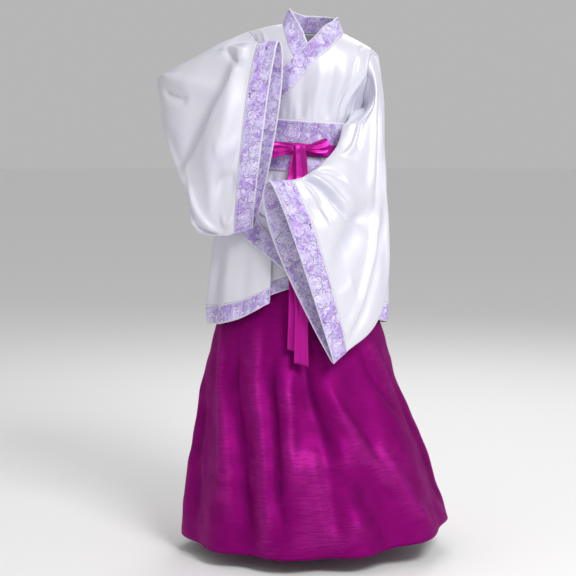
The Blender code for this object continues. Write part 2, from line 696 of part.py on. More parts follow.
def skirt_grid(first, last, columns):
    angle = np.linspace(first, last, columns)[None, :]
    hem = along(SKIRT_HEM, (angle + 180) % 360 - 180)[..., 0]
    share = SKIRT_ROWS[:, None]
    z = SKIRT_TOP_Z + (hem - SKIRT_TOP_Z) * share
    return skirt(angle + 0 * z, z)


def make_skirt(satin):
    gap = 0.12
    add_cloth("skirt_front", skirt_grid(-90 + gap, 90 - gap, 34), satin)
    add_cloth("skirt_back", skirt_grid(90 + gap, 270 - gap, 32), satin)
    angle = (np.arange(40) * 9.0 - 180)[None, :]
    z = np.array([SKIRT_BAND_TOP_Z, SKIRT_TOP_Z + SEAM])[:, None]
    add_cloth("skirt_waistband", skirt(angle + 0 * z, z + 0 * angle), satin, closed=True)


def main():
    for item in list(bpy.data.objects):
        bpy.data.objects.remove(item)
    white = make_material("white satin")
    brocade = make_material("lavender brocade")
    magenta = make_material("magenta satin")
    ribbon = make_material("magenta ribbon")
    make_back(white, brocade)
    make_outer_front(white, brocade)
    make_inner_front(white, brocade)
    make_collar(brocade)
    make_edge_band(brocade)
    make_sleeves(white, brocade)
    make_waist(brocade, ribbon)
    make_knot(ribbon)
    make_loops(ribbon)
    make_tails(ribbon)
    make_skirt(magenta)


main()
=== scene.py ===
"""Hanfu: the visible cloth of a cross-collared satin jacket, a long flared satin skirt, a brocade
waistband and a ribbon belt tied in a bow. Each piece is a thin shell on the form of its solid. Its
folds and creases are given in its own sizes. Metres, +Z up. The front faces -Y and the
wearer's left is +X. The origin is in the middle of the shoulder line."""

import bpy
import numpy as np
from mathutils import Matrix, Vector


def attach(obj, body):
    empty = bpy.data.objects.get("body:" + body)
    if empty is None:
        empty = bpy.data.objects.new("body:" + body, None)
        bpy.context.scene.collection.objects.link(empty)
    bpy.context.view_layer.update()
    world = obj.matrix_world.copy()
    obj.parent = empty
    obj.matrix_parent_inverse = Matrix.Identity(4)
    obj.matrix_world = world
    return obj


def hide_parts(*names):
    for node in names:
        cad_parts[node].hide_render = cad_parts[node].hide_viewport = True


bl_info = {
    "name": "Hanfu",
    "version": (1, 0, 0),
    "blender": (4, 5, 0),
    "location": "View3D > Sidebar > Hanfu",
    "description": "Builds a worn hanfu set from its panels, bands, belt and skirt",
    "category": "Add Mesh",
}

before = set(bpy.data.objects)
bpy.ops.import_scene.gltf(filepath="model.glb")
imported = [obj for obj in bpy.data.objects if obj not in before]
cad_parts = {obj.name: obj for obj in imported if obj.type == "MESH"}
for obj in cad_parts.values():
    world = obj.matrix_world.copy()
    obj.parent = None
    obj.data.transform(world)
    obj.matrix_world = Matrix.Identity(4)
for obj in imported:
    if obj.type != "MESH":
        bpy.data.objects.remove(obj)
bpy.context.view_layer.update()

# Cloth and seams. A seam's width is turned into degrees at one angle, in front of the side.
SEAM = 0.0002
FOLDED_SEAM = 1.6 * SEAM
SEAM_MEASURED_AT = 60.0
BAND_WIDTH = 0.045

# Shoulder, chest and armholes. The front and back part at the shoulder line over the seam's drop, the
# back starts some seam's widths down, and the right sleeve is drawn to its armhole over the reach.
CHEST_Z = -0.12
SHOULDER_DROP = 0.14
TOP_HALF_WIDTH = 0.1575
TOP_CENTRE_X = -0.0075
SHOULDER_SEAM_DROP = 0.03
ARMHOLE_DROP = {"right": 0.22, "left": 0.21}
ARMHOLE_OPEN = 32.0
ARMHOLE_REACH = 0.2
SMALLEST_DROP = 1e-6
BACK_TOP_SEAM = 1.5
SIDE = {"right": -1, "left": 1}
NECK_CENTRE = (-0.008, 0.012)
NECK_ANGLE = 27.7
COLLAR_LEAN = 0.25

# Lower edges, as drops of cloth from the shoulder line
HIP_DROP = 0.455
HEM_DROP = 0.742
HEM_BAND = 0.047
COLLAR_END_DROP = 0.305
WAISTBAND_TOP, WAISTBAND_LOW = 0.249, 0.3715
RIBBON_TOP, RIBBON_LOW = 0.303, 0.334
WAIST_TILT = 0.007

# Layers over the jacket's back, in metres along the outward normal. The outer front's lift grows in
# from the side and down from the shoulder.
OUTER_LIFT = 0.0040
OUTER_LIFT_LOW = 0.0120
OUTER_LIFT_ANGLES = (62.0, 40.0)
OUTER_LIFT_DROPS = (0.02, 0.10)
WAISTBAND_LIFT = 0.0070
RIBBON_LIFT = 0.0094

# Skirt
SKIRT_TOP_Z = -0.268
SKIRT_BAND_TOP_Z = -0.24

# Rings of the worn jacket: z, half width, half depth, centre x
BODY = (
    (-0.750, 0.2120, 0.170, -0.0470),
    (-0.680, 0.2170, 0.165, -0.0450),
    (-0.600, 0.2130, 0.154, -0.0425),
    (-0.510, 0.2050, 0.138, -0.0400),
    (-0.450, 0.1740, 0.122, -0.0360),
    (-0.355, 0.1160, 0.092, -0.0280),
    (-0.290, 0.1050, 0.085, -0.0245),
    (-0.230, 0.1130, 0.090, -0.0200),
    (-0.200, 0.1165, 0.092, -0.0185),
    (-0.120, 0.1500, 0.100, -0.0080),
)

# Shoulder line seen from the front: x, z
RIDGE = (
    (-0.170, -0.017),
    (-0.081, 0.002),
    (0.000, 0.008),
    (0.065, -0.021),
    (0.099, -0.038),
    (0.129, -0.055),
    (0.152, -0.076),
)

# Seam between each front and its band: drop, angle, stand. Stand is 0 where the band lies on the
# chest and 1 where it stands up round the neck.
OUTER_EDGE = (
    (0.000, 27.6, 0.85),
    (0.036, 26.5, 0.45),
    (0.063, 21.5, 0.15),
    (0.090, 15.5, 0.03),
    (0.135, -6.9, 0.00),
    (0.185, -25.0, 0.00),
    (0.219, -47.0, 0.00),
    (0.250, -56.0, 0.00),
    (0.305, -59.0, 0.00),
    (0.375, -52.0, 0.00),
    (0.430, -43.0, 0.00),
    (0.487, -32.0, 0.00),
    (0.532, -13.5, 0.00),
    (0.561, -3.5, 0.00),
    (0.600, 8.0, 0.00),
)
INNER_EDGE = (
    (0.000, -27.8, 0.85),
    (0.030, -27.8, 0.55),
    (0.055, -26.8, 0.15),
    (0.082, -24.4, 0.02),
    (0.116, -17.7, 0.00),
    (0.170, -8.0, 0.00),
    (0.230, 8.0, 0.00),
    (0.305, 20.0, 0.00),
    (0.400, 24.0, 0.00),
)

# Seam between the back and the collar: angle, drop, stand
BACK_NECK = (
    (-27.8, 0.000, 0.85),
    (-24.0, -0.032, 0.90),
    (-12.0, -0.054, 0.95),
    (0.0, -0.058, 0.95),
    (12.0, -0.054, 0.95),
    (24.0, -0.032, 0.90),
    (27.6, 0.000, 0.85),
)

# Lower edge of the outer front, from its corner to the side seam: angle, drop
OUTER_HEM = (
    (-20.0, 0.604),
    (0.0, 0.622),
    (30.0, 0.672),
    (60.0, 0.722),
    (90.0, 0.742),
)

# Inner front at its hem: share, angle, out, drop. The near layer folds back on itself, then runs on
# under it.
FOLD = (
    (0.000, -90.0, 0.0000, 0.742),
    (0.200, -66.0, 0.0030, 0.738),
    (0.380, -43.0, 0.0085, 0.722),
    (0.500, -27.0, 0.0115, 0.697),
    (0.560, -20.0, 0.0120, 0.682),
    (0.580, -17.9, 0.0112, 0.678),
    (0.600, -17.6, 0.0085, 0.675),
    (0.630, -19.5, 0.0060, 0.671),
    (0.660, -21.0, 0.0035, 0.668),
    (0.690, -20.5, 0.0010, 0.665),
    (0.860, -10.0, 0.0000, 0.648),
    (1.000, 10.0, 0.0000, 0.628),
)
# The drops over which the fold rises off the body, then turns over on itself. While it turns, its
# side stands as an even ramp between two shares.
RISE_DROPS = (0.385, 0.475)
FOLD_DROPS = (0.41, 0.56)
RAMP_SHARES = (0.56, 0.70)
RAMP_OUT = 0.012

# Sleeve sections: share, then x, y and z of the top, of the low edge and of the normal, then near, far
# and belly. Top and low are the two folded edges, the normal faces out of the first leaf, near and far
# are how far each leaf stands off the line between the edges, and belly moves the fullness towards the
# top edge. A cuff goes on from its sleeve's last section.
RIGHT_SLEEVE = (
    (0.00, -0.165, 0.000, -0.017, -0.135, 0.000, -0.200, 0.00, 1.00, 0.00, 0.050, 0.050, 0.3),
    (0.15, -0.235, 0.000, -0.046, -0.185, -0.005, -0.270, -0.05, 1.00, 0.00, 0.052, 0.050, 0.5),
    (0.32, -0.318, -0.010, -0.092, -0.245, -0.020, -0.345, -0.35, 0.93, -0.10, 0.044, 0.040, 0.4),
    (0.45, -0.380, -0.035, -0.128, -0.294, -0.050, -0.388, -0.95, 0.00, -0.31, 0.014, 0.030, 0.1),
    (0.56, -0.352, -0.072, -0.112, -0.291, -0.085, -0.445, -0.75, -0.65, -0.13, 0.030, 0.028, 0.2),
    (0.68, -0.300, -0.106, -0.088, -0.285, -0.118, -0.489, -0.50, -0.86, 0.00, 0.032, 0.028, 0.3),
    (0.80, -0.235, -0.142, -0.065, -0.245, -0.135, -0.498, -0.50, -0.86, 0.00, 0.032, 0.028, 0.3),
    (0.90, -0.180, -0.172, -0.052, -0.215, -0.143, -0.499, -0.53, -0.85, 0.00, 0.026, 0.028, 0.3),
    (1.00, -0.136, -0.195, -0.048, -0.195, -0.152, -0.492, -0.57, -0.82, 0.00, 0.020, 0.030, 0.3),
)
RIGHT_CUFF = (
    (0.00, *RIGHT_SLEEVE[-1][1:]),
    (0.50, -0.113, -0.205, -0.048, -0.172, -0.158, -0.487, -0.57, -0.82, 0.00, 0.016, 0.034, 0.3),
    (1.00, -0.090, -0.215, -0.049, -0.150, -0.165, -0.478, -0.57, -0.82, 0.00, 0.012, 0.038, 0.3),
)
LEFT_SLEEVE = (
    (0.22, 0.064, -0.105, -0.238, 0.157, -0.018, -0.228, 0.66, -0.75, 0.00, 0.036, 0.018, 0.0),
    (0.40, 0.045, -0.140, -0.292, 0.158, -0.040, -0.396, 0.66, -0.74, -0.02, 0.036, 0.016, 0.0),
    (0.55, 0.020, -0.172, -0.318, 0.166, -0.070, -0.490, 0.66, -0.74, 0.05, 0.036, 0.014, 0.1),
    (0.70, -0.009, -0.202, -0.343, 0.168, -0.112, -0.600, 0.66, -0.74, 0.08, 0.034, 0.016, 0.2),
    (0.85, -0.035, -0.224, -0.358, 0.134, -0.165, -0.712, 0.67, -0.74, 0.10, 0.030, 0.022, 0.3),
    (1.00, -0.061, -0.240, -0.364, 0.068, -0.216, -0.763, 0.67, -0.74, 0.13, 0.024, 0.030, 0.4),
)
LEFT_CUFF = (
    (0.00, *LEFT_SLEEVE[-1][1:]),
    (0.50, -0.087, -0.250, -0.365, 0.052, -0.225, -0.777, 0.67, -0.74, 0.13, 0.018, 0.042, 0.5),
    (1.00, -0.112, -0.259, -0.366, 0.037, -0.233, -0.789, 0.67, -0.74, 0.13, 0.012, 0.050, 0.6),
)

# The left sleeve leaves its armhole outwards and bends down into its first section. This is how far
# it is led out in x, y and z, for places round it: from the underarm seam over the front to the
# shoulder, and back behind.
BEND = (
    (0.000, 0.016, -0.027, -0.018),
    (0.068, 0.030, -0.024, -0.016),
    (0.250, 0.032, -0.012, -0.045),
    (0.500, 0.008, 0.000, -0.070),
    (0.750, 0.030, 0.002, -0.060),
    (0.822, 0.026, -0.004, -0.059),
    (0.932, 0.014, -0.012, -0.040),
    (1.000, 0.016, -0.027, -0.018),
)

# The raised fold on the right sleeve's first leaf: for each share of the way down, where along the
# sleeve it starts. It fades towards the cuff and towards the low edge.
RAISED_FOLD = ((0.00, 0.93), (0.10, 0.90), (0.35, 0.80), (0.55, 0.70), (0.70, 0.60))
RAISED_FOLD_HEIGHT = 0.021
RAISED_FOLD_WIDTH = 0.085
RAISED_FOLD_ENDS, RAISED_FOLD_LOW = (0.90, 1.00), (0.55, 0.75)

# Rings of the skirt: z, half width, half depth, centre x
SKIRT = (
    (-1.250, 0.330, 0.280, 0.0020),
    (-1.210, 0.326, 0.273, 0.0000),
    (-1.117, 0.303, 0.256, -0.0090),
    (-1.040, 0.287, 0.242, -0.0150),
    (-0.945, 0.2575, 0.217, -0.0258),
    (-0.850, 0.232, 0.195, -0.0400),
    (-0.760, 0.211, 0.172, -0.0410),
    (-0.710, 0.197, 0.157, -0.0425),
    (-0.600, 0.185, 0.138, -0.0415),
    (-0.510, 0.174, 0.122, -0.0390),
    (-0.450, 0.150, 0.107, -0.0360),
    (-0.355, 0.1115, 0.0883, -0.0280),
    (-0.290, 0.1018, 0.0818, -0.0245),
    (-0.230, 0.1095, 0.0865, -0.0200),
)
# Height of its hem: angle, z
SKIRT_HEM = (
    (-180.0, -1.238),
    (-90.0, -1.242),
    (-40.0, -1.244),
    (0.0, -1.243),
    (40.0, -1.228),
    (90.0, -1.208),
    (180.0, -1.238),
)

# Soft folds of the skirt: the angle where each runs, its half width, and how far it stands out at the
# hem
PLEATS = (
    (-172.0, 12.0, 0.011), (-150.0, 11.0, -0.012), (-131.0, 11.0, 0.010), (-111.0, 10.0, -0.009),
    (-84.0, 11.0, 0.006), (-64.0, 9.0, -0.010), (-47.0, 9.0, 0.011), (-31.0, 8.0, -0.012),
    (-14.0, 9.0, 0.012), (3.0, 8.0, -0.015), (18.0, 8.0, 0.010), (34.0, 9.0, -0.014),
    (52.0, 10.0, 0.010), (72.0, 9.0, -0.008), (92.0, 10.0, 0.004), (112.0, 10.0, -0.010),
    (131.0, 10.0, 0.011), (150.0, 10.0, -0.012), (167.0, 8.0, 0.006),
)
PLEAT_TOP_Z, PLEAT_FULL_Z = -0.60, -1.20
# First and last angle of each panel
SKIRT_PANELS = {"skirt_front": (-89.99, 89.99), "skirt_back": (90.01, 269.99)}

# Tails of the ribbon: share, then x, y and z of the middle line, and the half width. The curl is
# across a tail, and the slant is how far its end is cut lower on one side.
TAILS = {
    "ribbon_tail_right": (
        (0.00, -0.0495, -0.1030, -0.3010, 0.007),
        (0.15, -0.058, -0.1080, -0.362, 0.012),
        (0.35, -0.056, -0.1440, -0.460, 0.015),
        (0.65, -0.052, -0.1830, -0.600, 0.016),
        (0.85, -0.052, -0.1900, -0.700, 0.016),
        (1.00, -0.0525, -0.1940, -0.766, 0.017),
    ),
    "ribbon_tail_left": (
        (0.000, -0.0400, -0.1050, -0.2848, 0.0100),
        (0.012, -0.0398, -0.1140, -0.2866, 0.0115),
        (0.035, -0.0392, -0.1162, -0.2960, 0.0125),
        (0.065, -0.0385, -0.1138, -0.3080, 0.0128),
        (0.150, -0.0365, -0.1155, -0.3560, 0.0140),
        (0.350, -0.0360, -0.1525, -0.460, 0.016),
        (0.650, -0.0380, -0.1908, -0.600, 0.016),
        (0.85, -0.037, -0.1955, -0.710, 0.016),
        (1.00, -0.0365, -0.2010, -0.797, 0.017),
    ),
}
TAIL_SPACING = 1.4
TAIL_CURL, TAIL_CREASE, TAIL_SLANT = 0.0022, 0.0022, 0.0045
TAIL_CREASE_PLACE, TAIL_CREASE_SWAY, TAIL_CREASE_WIDTH = -0.15, (0.25, 5.0), 0.22
TAIL_CURL_GROWS, TAIL_CREASE_GROWS, TAIL_SLANT_SHARES = 0.1, 0.06, (0.8, 1.0)
# Waves of a tail, out of it and to its side: height, how many there are along it, start, how much they
# lean across it, and the share over which they grow from nothing
TAIL_WAVE = (0.0012, 2.3, 0.0, 0.22, 0.3)
TAIL_SWAY = (0.0012, 1.7, 0.6, 0.0, 0.2)

# Bow loops: root x and z, reach in x and z, depth, half width, and how far each is open
LOOPS = {
    "bow_loop_right": (-0.0540, -0.2945, -0.0590, -0.005, 0.0070, 0.0145, 0.0105),
    "bow_loop_left": (-0.0290, -0.2945, 0.0590, 0.006, 0.0066, 0.0155, 0.0085),
}
LOOP_BACK_Y = -0.0985
LOOP_ROUND, LOOP_SPREAD, LOOP_NECK, LOOP_BULGE = 0.75, 1.2, 0.26, 0.10
LOOP_CREASE, LOOP_CREASE_WAVES, LOOP_CREASE_TURN = 0.0024, 1.7, 2.6
LOOP_CREASE_FADE, LOOP_CREASE_GROWS = 0.6, 0.2
KNOT_MIDDLE = (-0.0415, -0.1040, -0.295)
KNOT_SIZE = (0.0152, 0.0088, 0.0105)
KNOT_CREASE, KNOT_CREASE_WAVES, KNOT_CREASE_SWAY = 0.075, 3.4, (1.6, 0.6)
KNOT_DRAWN_IN, KNOT_SQUARE, KNOT_TILT = 0.42, 0.8, 0.0015

# Drops at which the bands are laid out
COLLAR_DROPS = np.array([
    0.0, 0.018, 0.036, 0.063, 0.09, 0.112, 0.135, 0.16, 0.185, 0.202, 0.219, 0.235, 0.25, 0.275,
    COLLAR_END_DROP])
EDGE_BAND_DROPS = np.array([
    0.592, 0.578, 0.561, 0.548, 0.532, 0.51, 0.487, 0.455, 0.425, 0.395, 0.365, 0.335, 0.308])
BAND_PLACES, BAND_FINER = 4, 8

# Thickness of the visible cloth, then the width of the piping and the place and length of stitches
CLOTH, BAND_CLOTH, RIBBON_CLOTH = 0.0010, 0.0017, 0.0009
PIPING = 0.0022
STITCH_PLACE, STITCH_LENGTH = 0.0038, 0.0050
UP_TO_HEM = HEM_DROP - HEM_BAND

# Points of the grids, rows by columns
JACKET_ROWS, JACKET_COLUMNS, HEM_BAND_ROWS = 130, 110, 9
INNER_SHARES = ((0.0, 0.54, 60), (0.54, 0.70, 41), (0.70, 1.0, 26))
SLEEVE_ROWS, SLEEVE_COLUMNS, CUFF_ROWS = {"right": 170, "left": 180}, 150, 14
SLEEVE_START, CUFF_START = 0.001, 0.004
WAIST_COLUMNS, WAISTBAND_ROWS, RIBBON_BELT_ROWS = 200, 30, 8
TAIL_GRID, LOOP_GRID, KNOT_GRID = (110, 13), (80, 25), (30, 72)
SKIRT_GRID, SKIRT_BAND_GRID = (120, 190), (6, 160)
ACROSS = np.linspace(0, 1, JACKET_COLUMNS)
AROUND = np.linspace(0, 1, SLEEVE_COLUMNS, endpoint=False)
TURNS = 2 * np.pi * AROUND

# Upright soft folds of the jacket: place round it from the front by the wearer's left, half width in
# degrees, and how far each stands out at the chest and at the hem
JACKET_FOLDS = (
    (-172.0, 6.0, 0.0039, 0.0096), (-158.0, 7.0, -0.0046, -0.0112), (-141.0, 6.0, 0.0036, 0.0104),
    (-127.0, 7.0, -0.0026, -0.0096), (-112.0, 6.0, 0.0016, 0.0088), (-98.0, 5.0, 0.0000, -0.0064),
    (-78.0, 5.0, 0.0000, 0.0080), (-66.0, 5.0, -0.0021, -0.0096), (-52.0, 6.0, 0.0031, 0.0048),
    (-36.0, 5.0, -0.0036, -0.0032), (-22.0, 5.0, 0.0029, 0.0000), (-9.0, 5.0, -0.0023, 0.0016),
    (6.0, 5.0, 0.0039, 0.0038), (17.0, 4.0, -0.0036, -0.0054), (28.0, 5.0, 0.0044, 0.0074),
    (39.0, 4.0, -0.0039, -0.0080), (50.0, 5.0, 0.0034, 0.0090), (63.0, 5.0, -0.0018, -0.0096),
    (77.0, 6.0, 0.0008, 0.0088), (94.0, 6.0, 0.0000, -0.0080), (109.0, 6.0, 0.0018, 0.0096),
    (124.0, 7.0, -0.0034, -0.0104), (140.0, 6.0, 0.0039, 0.0096), (155.0, 6.0, -0.0044, -0.0088),
    (168.0, 5.0, 0.0031, 0.0064),
)
CHEST_FOLD_DROPS = ((0.05, 0.16), (0.19, 0.240))
HEM_FOLD_DROPS = (0.385, 0.66)

# Small gathers beside the waistband: how many go round, where they start, and their height
GATHERS = ((13.0, 0.3, 0.0011), (23.0, 1.7, 0.0010), (37.0, 4.1, 0.0007), (51.0, 2.6, 0.0004))
UPPER_GATHER_DROPS = ((0.165, 0.236), (0.238, 0.249))
LOWER_GATHER_DROPS = ((0.372, 0.388), (0.40, 0.56))

# Creases: from a and b, to a and b, bend, width, height. Each runs from one place to another, bowed
# sideways by its bend. Its height is out of the surface, and its width is how far it reaches on its
# soft side. On its other side it is narrower, and it fades at both ends.
CREASE_SHARP_SIDE = 0.6
CREASE_FADES = ((-0.10, 0.25), (0.75, 1.10))
# Here a is the drop in metres and b the turn in degrees
JACKET_CREASES = (
    (0.180, 88.0, 0.248, 90.0, 0.000, 0.030, 0.0110),
    (0.020, 72.0, 0.165, 58.0, 0.004, 0.006, -0.0045),
    (0.015, 62.0, 0.190, 46.0, 0.006, 0.007, 0.0034),
    (0.030, 52.0, 0.150, 38.0, -0.005, 0.006, -0.0030),
    (0.060, 44.0, 0.235, 30.0, 0.006, 0.008, 0.0026),
    (0.040, -66.0, 0.180, -50.0, -0.006, 0.008, -0.0035),
    (0.030, -54.0, 0.200, -38.0, 0.005, 0.007, 0.0028),
    (0.390, 12.0, 0.520, 30.0, 0.010, 0.007, -0.0028),
    (0.385, 30.0, 0.560, 44.0, -0.008, 0.008, 0.0026),
    (0.395, 52.0, 0.600, 62.0, 0.008, 0.009, -0.0030),
    (0.390, -20.0, 0.470, -34.0, 0.006, 0.006, 0.0022),
    (0.400, -70.0, 0.640, -60.0, 0.012, 0.010, -0.0036),
    (0.430, -82.0, 0.700, -84.0, -0.010, 0.010, 0.0034),
    (0.040, 112.0, 0.200, 132.0, 0.008, 0.009, -0.0036),
    (0.030, 126.0, 0.230, 150.0, -0.008, 0.008, 0.0030),
    (0.050, 146.0, 0.210, 166.0, 0.006, 0.009, -0.0028),
    (0.045, -114.0, 0.220, -136.0, -0.010, 0.009, -0.0036),
    (0.030, -130.0, 0.190, -152.0, 0.006, 0.007, 0.0032),
    (0.385, 170.0, 0.560, 150.0, 0.010, 0.009, -0.0030),
    (0.390, -168.0, 0.600, -146.0, -0.012, 0.009, 0.0030),
    (0.400, 132.0, 0.640, 118.0, 0.010, 0.010, -0.0036),
    (0.395, -128.0, 0.620, -112.0, 0.010, 0.010, -0.0034),
)
JACKET_CREASE_SCALE = (1.0, 0.0021)
# Here a is the share of the way along the sleeve and b the place round it
LEFT_CREASES = (
    (-0.020, 0.950, 0.200, 0.990, 0.000, 0.038, 0.0185),
    (0.870, 0.020, 0.765, 0.205, 0.014, 0.013, -0.0150),
    (0.835, 0.010, 0.720, 0.180, 0.012, 0.014, 0.0100),
    (0.800, 0.165, 0.630, 0.270, -0.006, 0.014, -0.0110),
    (0.700, 0.030, 0.600, 0.160, 0.008, 0.013, -0.0070),
    (0.925, 0.060, 0.890, 0.190, 0.010, 0.012, 0.0050),
    (0.140, 0.285, 0.560, 0.310, 0.010, 0.017, -0.0120),
    (0.180, 0.245, 0.540, 0.255, 0.006, 0.018, 0.0090),
    (0.530, 0.305, 0.960, 0.245, -0.022, 0.021, -0.0150),
    (0.600, 0.205, 0.970, 0.195, -0.010, 0.024, 0.0100),
    (0.480, 0.345, 0.985, 0.395, -0.034, 0.012, 0.0120),
    (0.560, 0.367, 0.985, 0.428, -0.030, 0.015, -0.0110),
    (0.300, 0.385, 0.760, 0.435, -0.012, 0.019, 0.0080),
    (0.120, 0.200, 0.350, 0.150, -0.010, 0.013, -0.0080),
    (0.200, 0.140, 0.440, 0.085, 0.008, 0.013, 0.0070),
    (0.880, 0.300, 0.990, 0.315, 0.004, 0.012, 0.0050),
    (0.860, 0.140, 0.990, 0.130, 0.006, 0.014, -0.0060),
    (0.180, 0.620, 0.700, 0.580, 0.020, 0.020, -0.0100),
    (0.250, 0.700, 0.880, 0.680, -0.020, 0.019, 0.0090),
    (0.300, 0.800, 0.900, 0.790, 0.012, 0.017, -0.0090),
    (0.450, 0.880, 0.950, 0.860, 0.010, 0.015, 0.0070),
)
LEFT_CREASE_SCALE = (0.57, 0.62)
RIGHT_CREASES = (
    (0.900, 0.105, 0.680, 0.300, 0.012, 0.050, -0.0120),
    (0.985, 0.175, 0.790, 0.370, 0.012, 0.032, 0.0090),
    (0.520, 0.035, 0.830, 0.150, 0.012, 0.016, 0.0090),
    (0.560, 0.110, 0.700, 0.160, 0.006, 0.010, -0.0080),
    (0.480, 0.160, 0.680, 0.340, 0.018, 0.019, 0.0080),
    (0.500, 0.230, 0.700, 0.400, 0.016, 0.016, -0.0070),
    (0.680, 0.320, 0.840, 0.450, 0.014, 0.016, 0.0080),
    (0.690, 0.425, 0.840, 0.472, 0.004, 0.009, -0.0100),
    (0.640, 0.380, 0.760, 0.460, 0.008, 0.012, 0.0070),
    (0.860, 0.260, 0.990, 0.250, 0.006, 0.014, 0.0060),
    (0.840, 0.330, 0.990, 0.320, -0.006, 0.014, -0.0070),
    (0.870, 0.400, 0.990, 0.410, 0.006, 0.014, 0.0060),
    (0.850, 0.030, 0.960, 0.110, 0.010, 0.010, -0.0090),
    (0.820, 0.015, 0.950, 0.060, 0.006, 0.009, 0.0070),
    (0.300, 0.060, 0.480, 0.200, 0.010, 0.015, -0.0100),
    (0.320, 0.140, 0.500, 0.320, -0.010, 0.017, 0.0090),
    (0.120, 0.070, 0.350, 0.180, 0.012, 0.015, -0.0070),
    (0.100, 0.200, 0.380, 0.330, 0.012, 0.017, 0.0080),
    (0.120, 0.620, 0.440, 0.760, 0.014, 0.017, -0.0090),
    (0.100, 0.740, 0.420, 0.900, -0.012, 0.016, 0.0090),
    (0.480, 0.640, 0.900, 0.620, 0.020, 0.018, -0.0100),
    (0.520, 0.760, 0.950, 0.740, -0.016, 0.017, 0.0090),
    (0.560, 0.870, 0.940, 0.880, 0.010, 0.015, -0.0080),
)
RIGHT_CREASE_SCALE = (0.56, 0.69)
CREASES = {"right": (RIGHT_CREASE_SCALE, RIGHT_CREASES), "left": (LEFT_CREASE_SCALE, LEFT_CREASES)}
# Here a is the height and b the angle in degrees
SKIRT_CREASES = (
    (-0.720, -66.0, -1.215, -39.0, -0.028, 0.022, 0.0130),
    (-0.700, -47.5, -1.215, -31.0, -0.004, 0.022, -0.0090),
    (-0.690, -31.0, -1.225, -20.5, -0.004, 0.026, 0.0130),
    (-0.780, -16.5, -1.205, -13.5, 0.004, 0.020, -0.0120),
    (-0.820, -5.5, -1.080, -8.5, 0.004, 0.022, 0.0085),
    (-0.700, 1.0, -1.030, 12.0, 0.006, 0.028, -0.0120),
    (-0.980, 1.5, -1.235, 4.0, 0.004, 0.034, 0.0200),
    (-0.850, 16.0, -1.100, 40.0, 0.004, 0.024, 0.0110),
    (-0.990, 38.0, -1.205, 56.0, 0.006, 0.030, 0.0130),
    (-1.030, 19.0, -1.225, 32.0, 0.008, 0.028, -0.0060),
    (-0.730, 50.0, -0.890, 73.0, 0.008, 0.020, 0.0080),
    (-0.760, 42.0, -0.940, 63.0, 0.006, 0.016, -0.0060),
    (-0.870, -77.0, -1.215, -67.0, 0.006, 0.026, -0.0090),
    (-0.830, -86.0, -1.190, -80.0, -0.010, 0.028, 0.0080),
    (-1.060, -8.0, -1.235, -25.0, 0.006, 0.018, 0.0050),
    (-1.120, 30.0, -1.235, 8.0, 0.010, 0.020, 0.0050),
    (-0.880, 78.0, -1.190, 86.0, 0.008, 0.026, -0.0080),
    (-0.810, 109.0, -1.210, 104.0, 0.012, 0.030, -0.0079),
    (-0.810, 127.0, -1.200, 122.0, -0.010, 0.026, 0.0097),
    (-0.810, 147.0, -1.220, 144.0, 0.010, 0.027, -0.0084),
    (-0.810, 165.0, -1.210, 160.0, 0.010, 0.026, 0.0090),
    (-0.810, 185.0, -1.220, 182.0, -0.012, 0.027, -0.0079),
    (-0.810, 203.0, -1.200, 198.0, 0.010, 0.026, 0.0097),
    (-0.810, 223.0, -1.215, 220.0, 0.010, 0.027, -0.0079),
    (-0.820, 244.0, -1.210, 240.0, -0.010, 0.026, 0.0090),
)
SKIRT_CREASE_SCALE = (1.0, 0.0042)
SKIRT_FOLD_DEPTHS, SKIRT_FOLD_REACH, PLAIN_FOLD = (0.62, 0.80), 0.032, 0.5
HEM_TUCK, HEM_TUCK_Z, HEM_TUCK_REACH, HEM_TUCK_ANGLES = 0.0032, -0.715, 0.05, (85.0, 110.0)
# Where the jacket's creases fade out above the waistband, where they start again below it, and where
# they and the sleeve's creases start at the shoulder and the armhole
ABOVE_WAIST_DROPS, BELOW_WAIST_DROPS = (0.224, 0.243), (0.380, 0.420)
SHOULDER_DROPS, ARMHOLE_SHARES = (0.0, 0.04), (0.0, 0.12)

# Slow unevenness of hanging cloth: waves down per metre, whole waves around, start, and share of the
# height
WAVES = (
    (5.3, 6, 0.4, 0.30), (11.7, -3, 1.9, 0.24), (8.9, 10, 3.1, 0.20), (17.3, 5, 5.0, 0.14),
    (6.1, -14, 2.2, 0.12),
)
JACKET_UNEVEN, SLEEVE_UNEVEN, SKIRT_UNEVEN = 0.0010, 0.0013, 0.0024

# Waistband creases: place down the band, sway of the line, its start, and depth
WAISTBAND_CREASES = ((0.22, 0.05, 0.6, 0.0012), (0.47, 0.06, 2.4, 0.0008), (0.76, 0.05, 4.0, 0.0012))
WAISTBAND_CREASE_WIDTH = 0.07

# Noises: waves in a metre of cloth, the same both ways or first along it and then across it, with
# their detail and distortion
FLOWER_SPACING, LEAF_SPACING, SCROLL_SPACING, CLOUD_SPACING = 0.056, 0.009, 0.019, 0.042
NOISES = {
    "scrolls": (1 / SCROLL_SPACING, 1.0, 2.8),
    "scroll gaps": (0.7 / SCROLL_SPACING, 1.0, 0.0),
    "clouds": (1 / CLOUD_SPACING, 3.0, 1.2),
    "leaves": (1 / LEAF_SPACING, 2.0, 1.0),
    "flower gaps": (0.8 / FLOWER_SPACING, 1.0, 0.0),
    "satin clouds": ((6.0, 4.0), 3.0, 0.0),
    "satin threads": ((900.0, 260.0), 1.0, 0.0),
    "slub threads": ((34.0, 300.0), 3.0, 0.4),
    "slub crinkles": ((260.0, 700.0), 2.0, 0.5),
    "slub patches": ((7.0, 11.0), 3.0, 0.6),
}

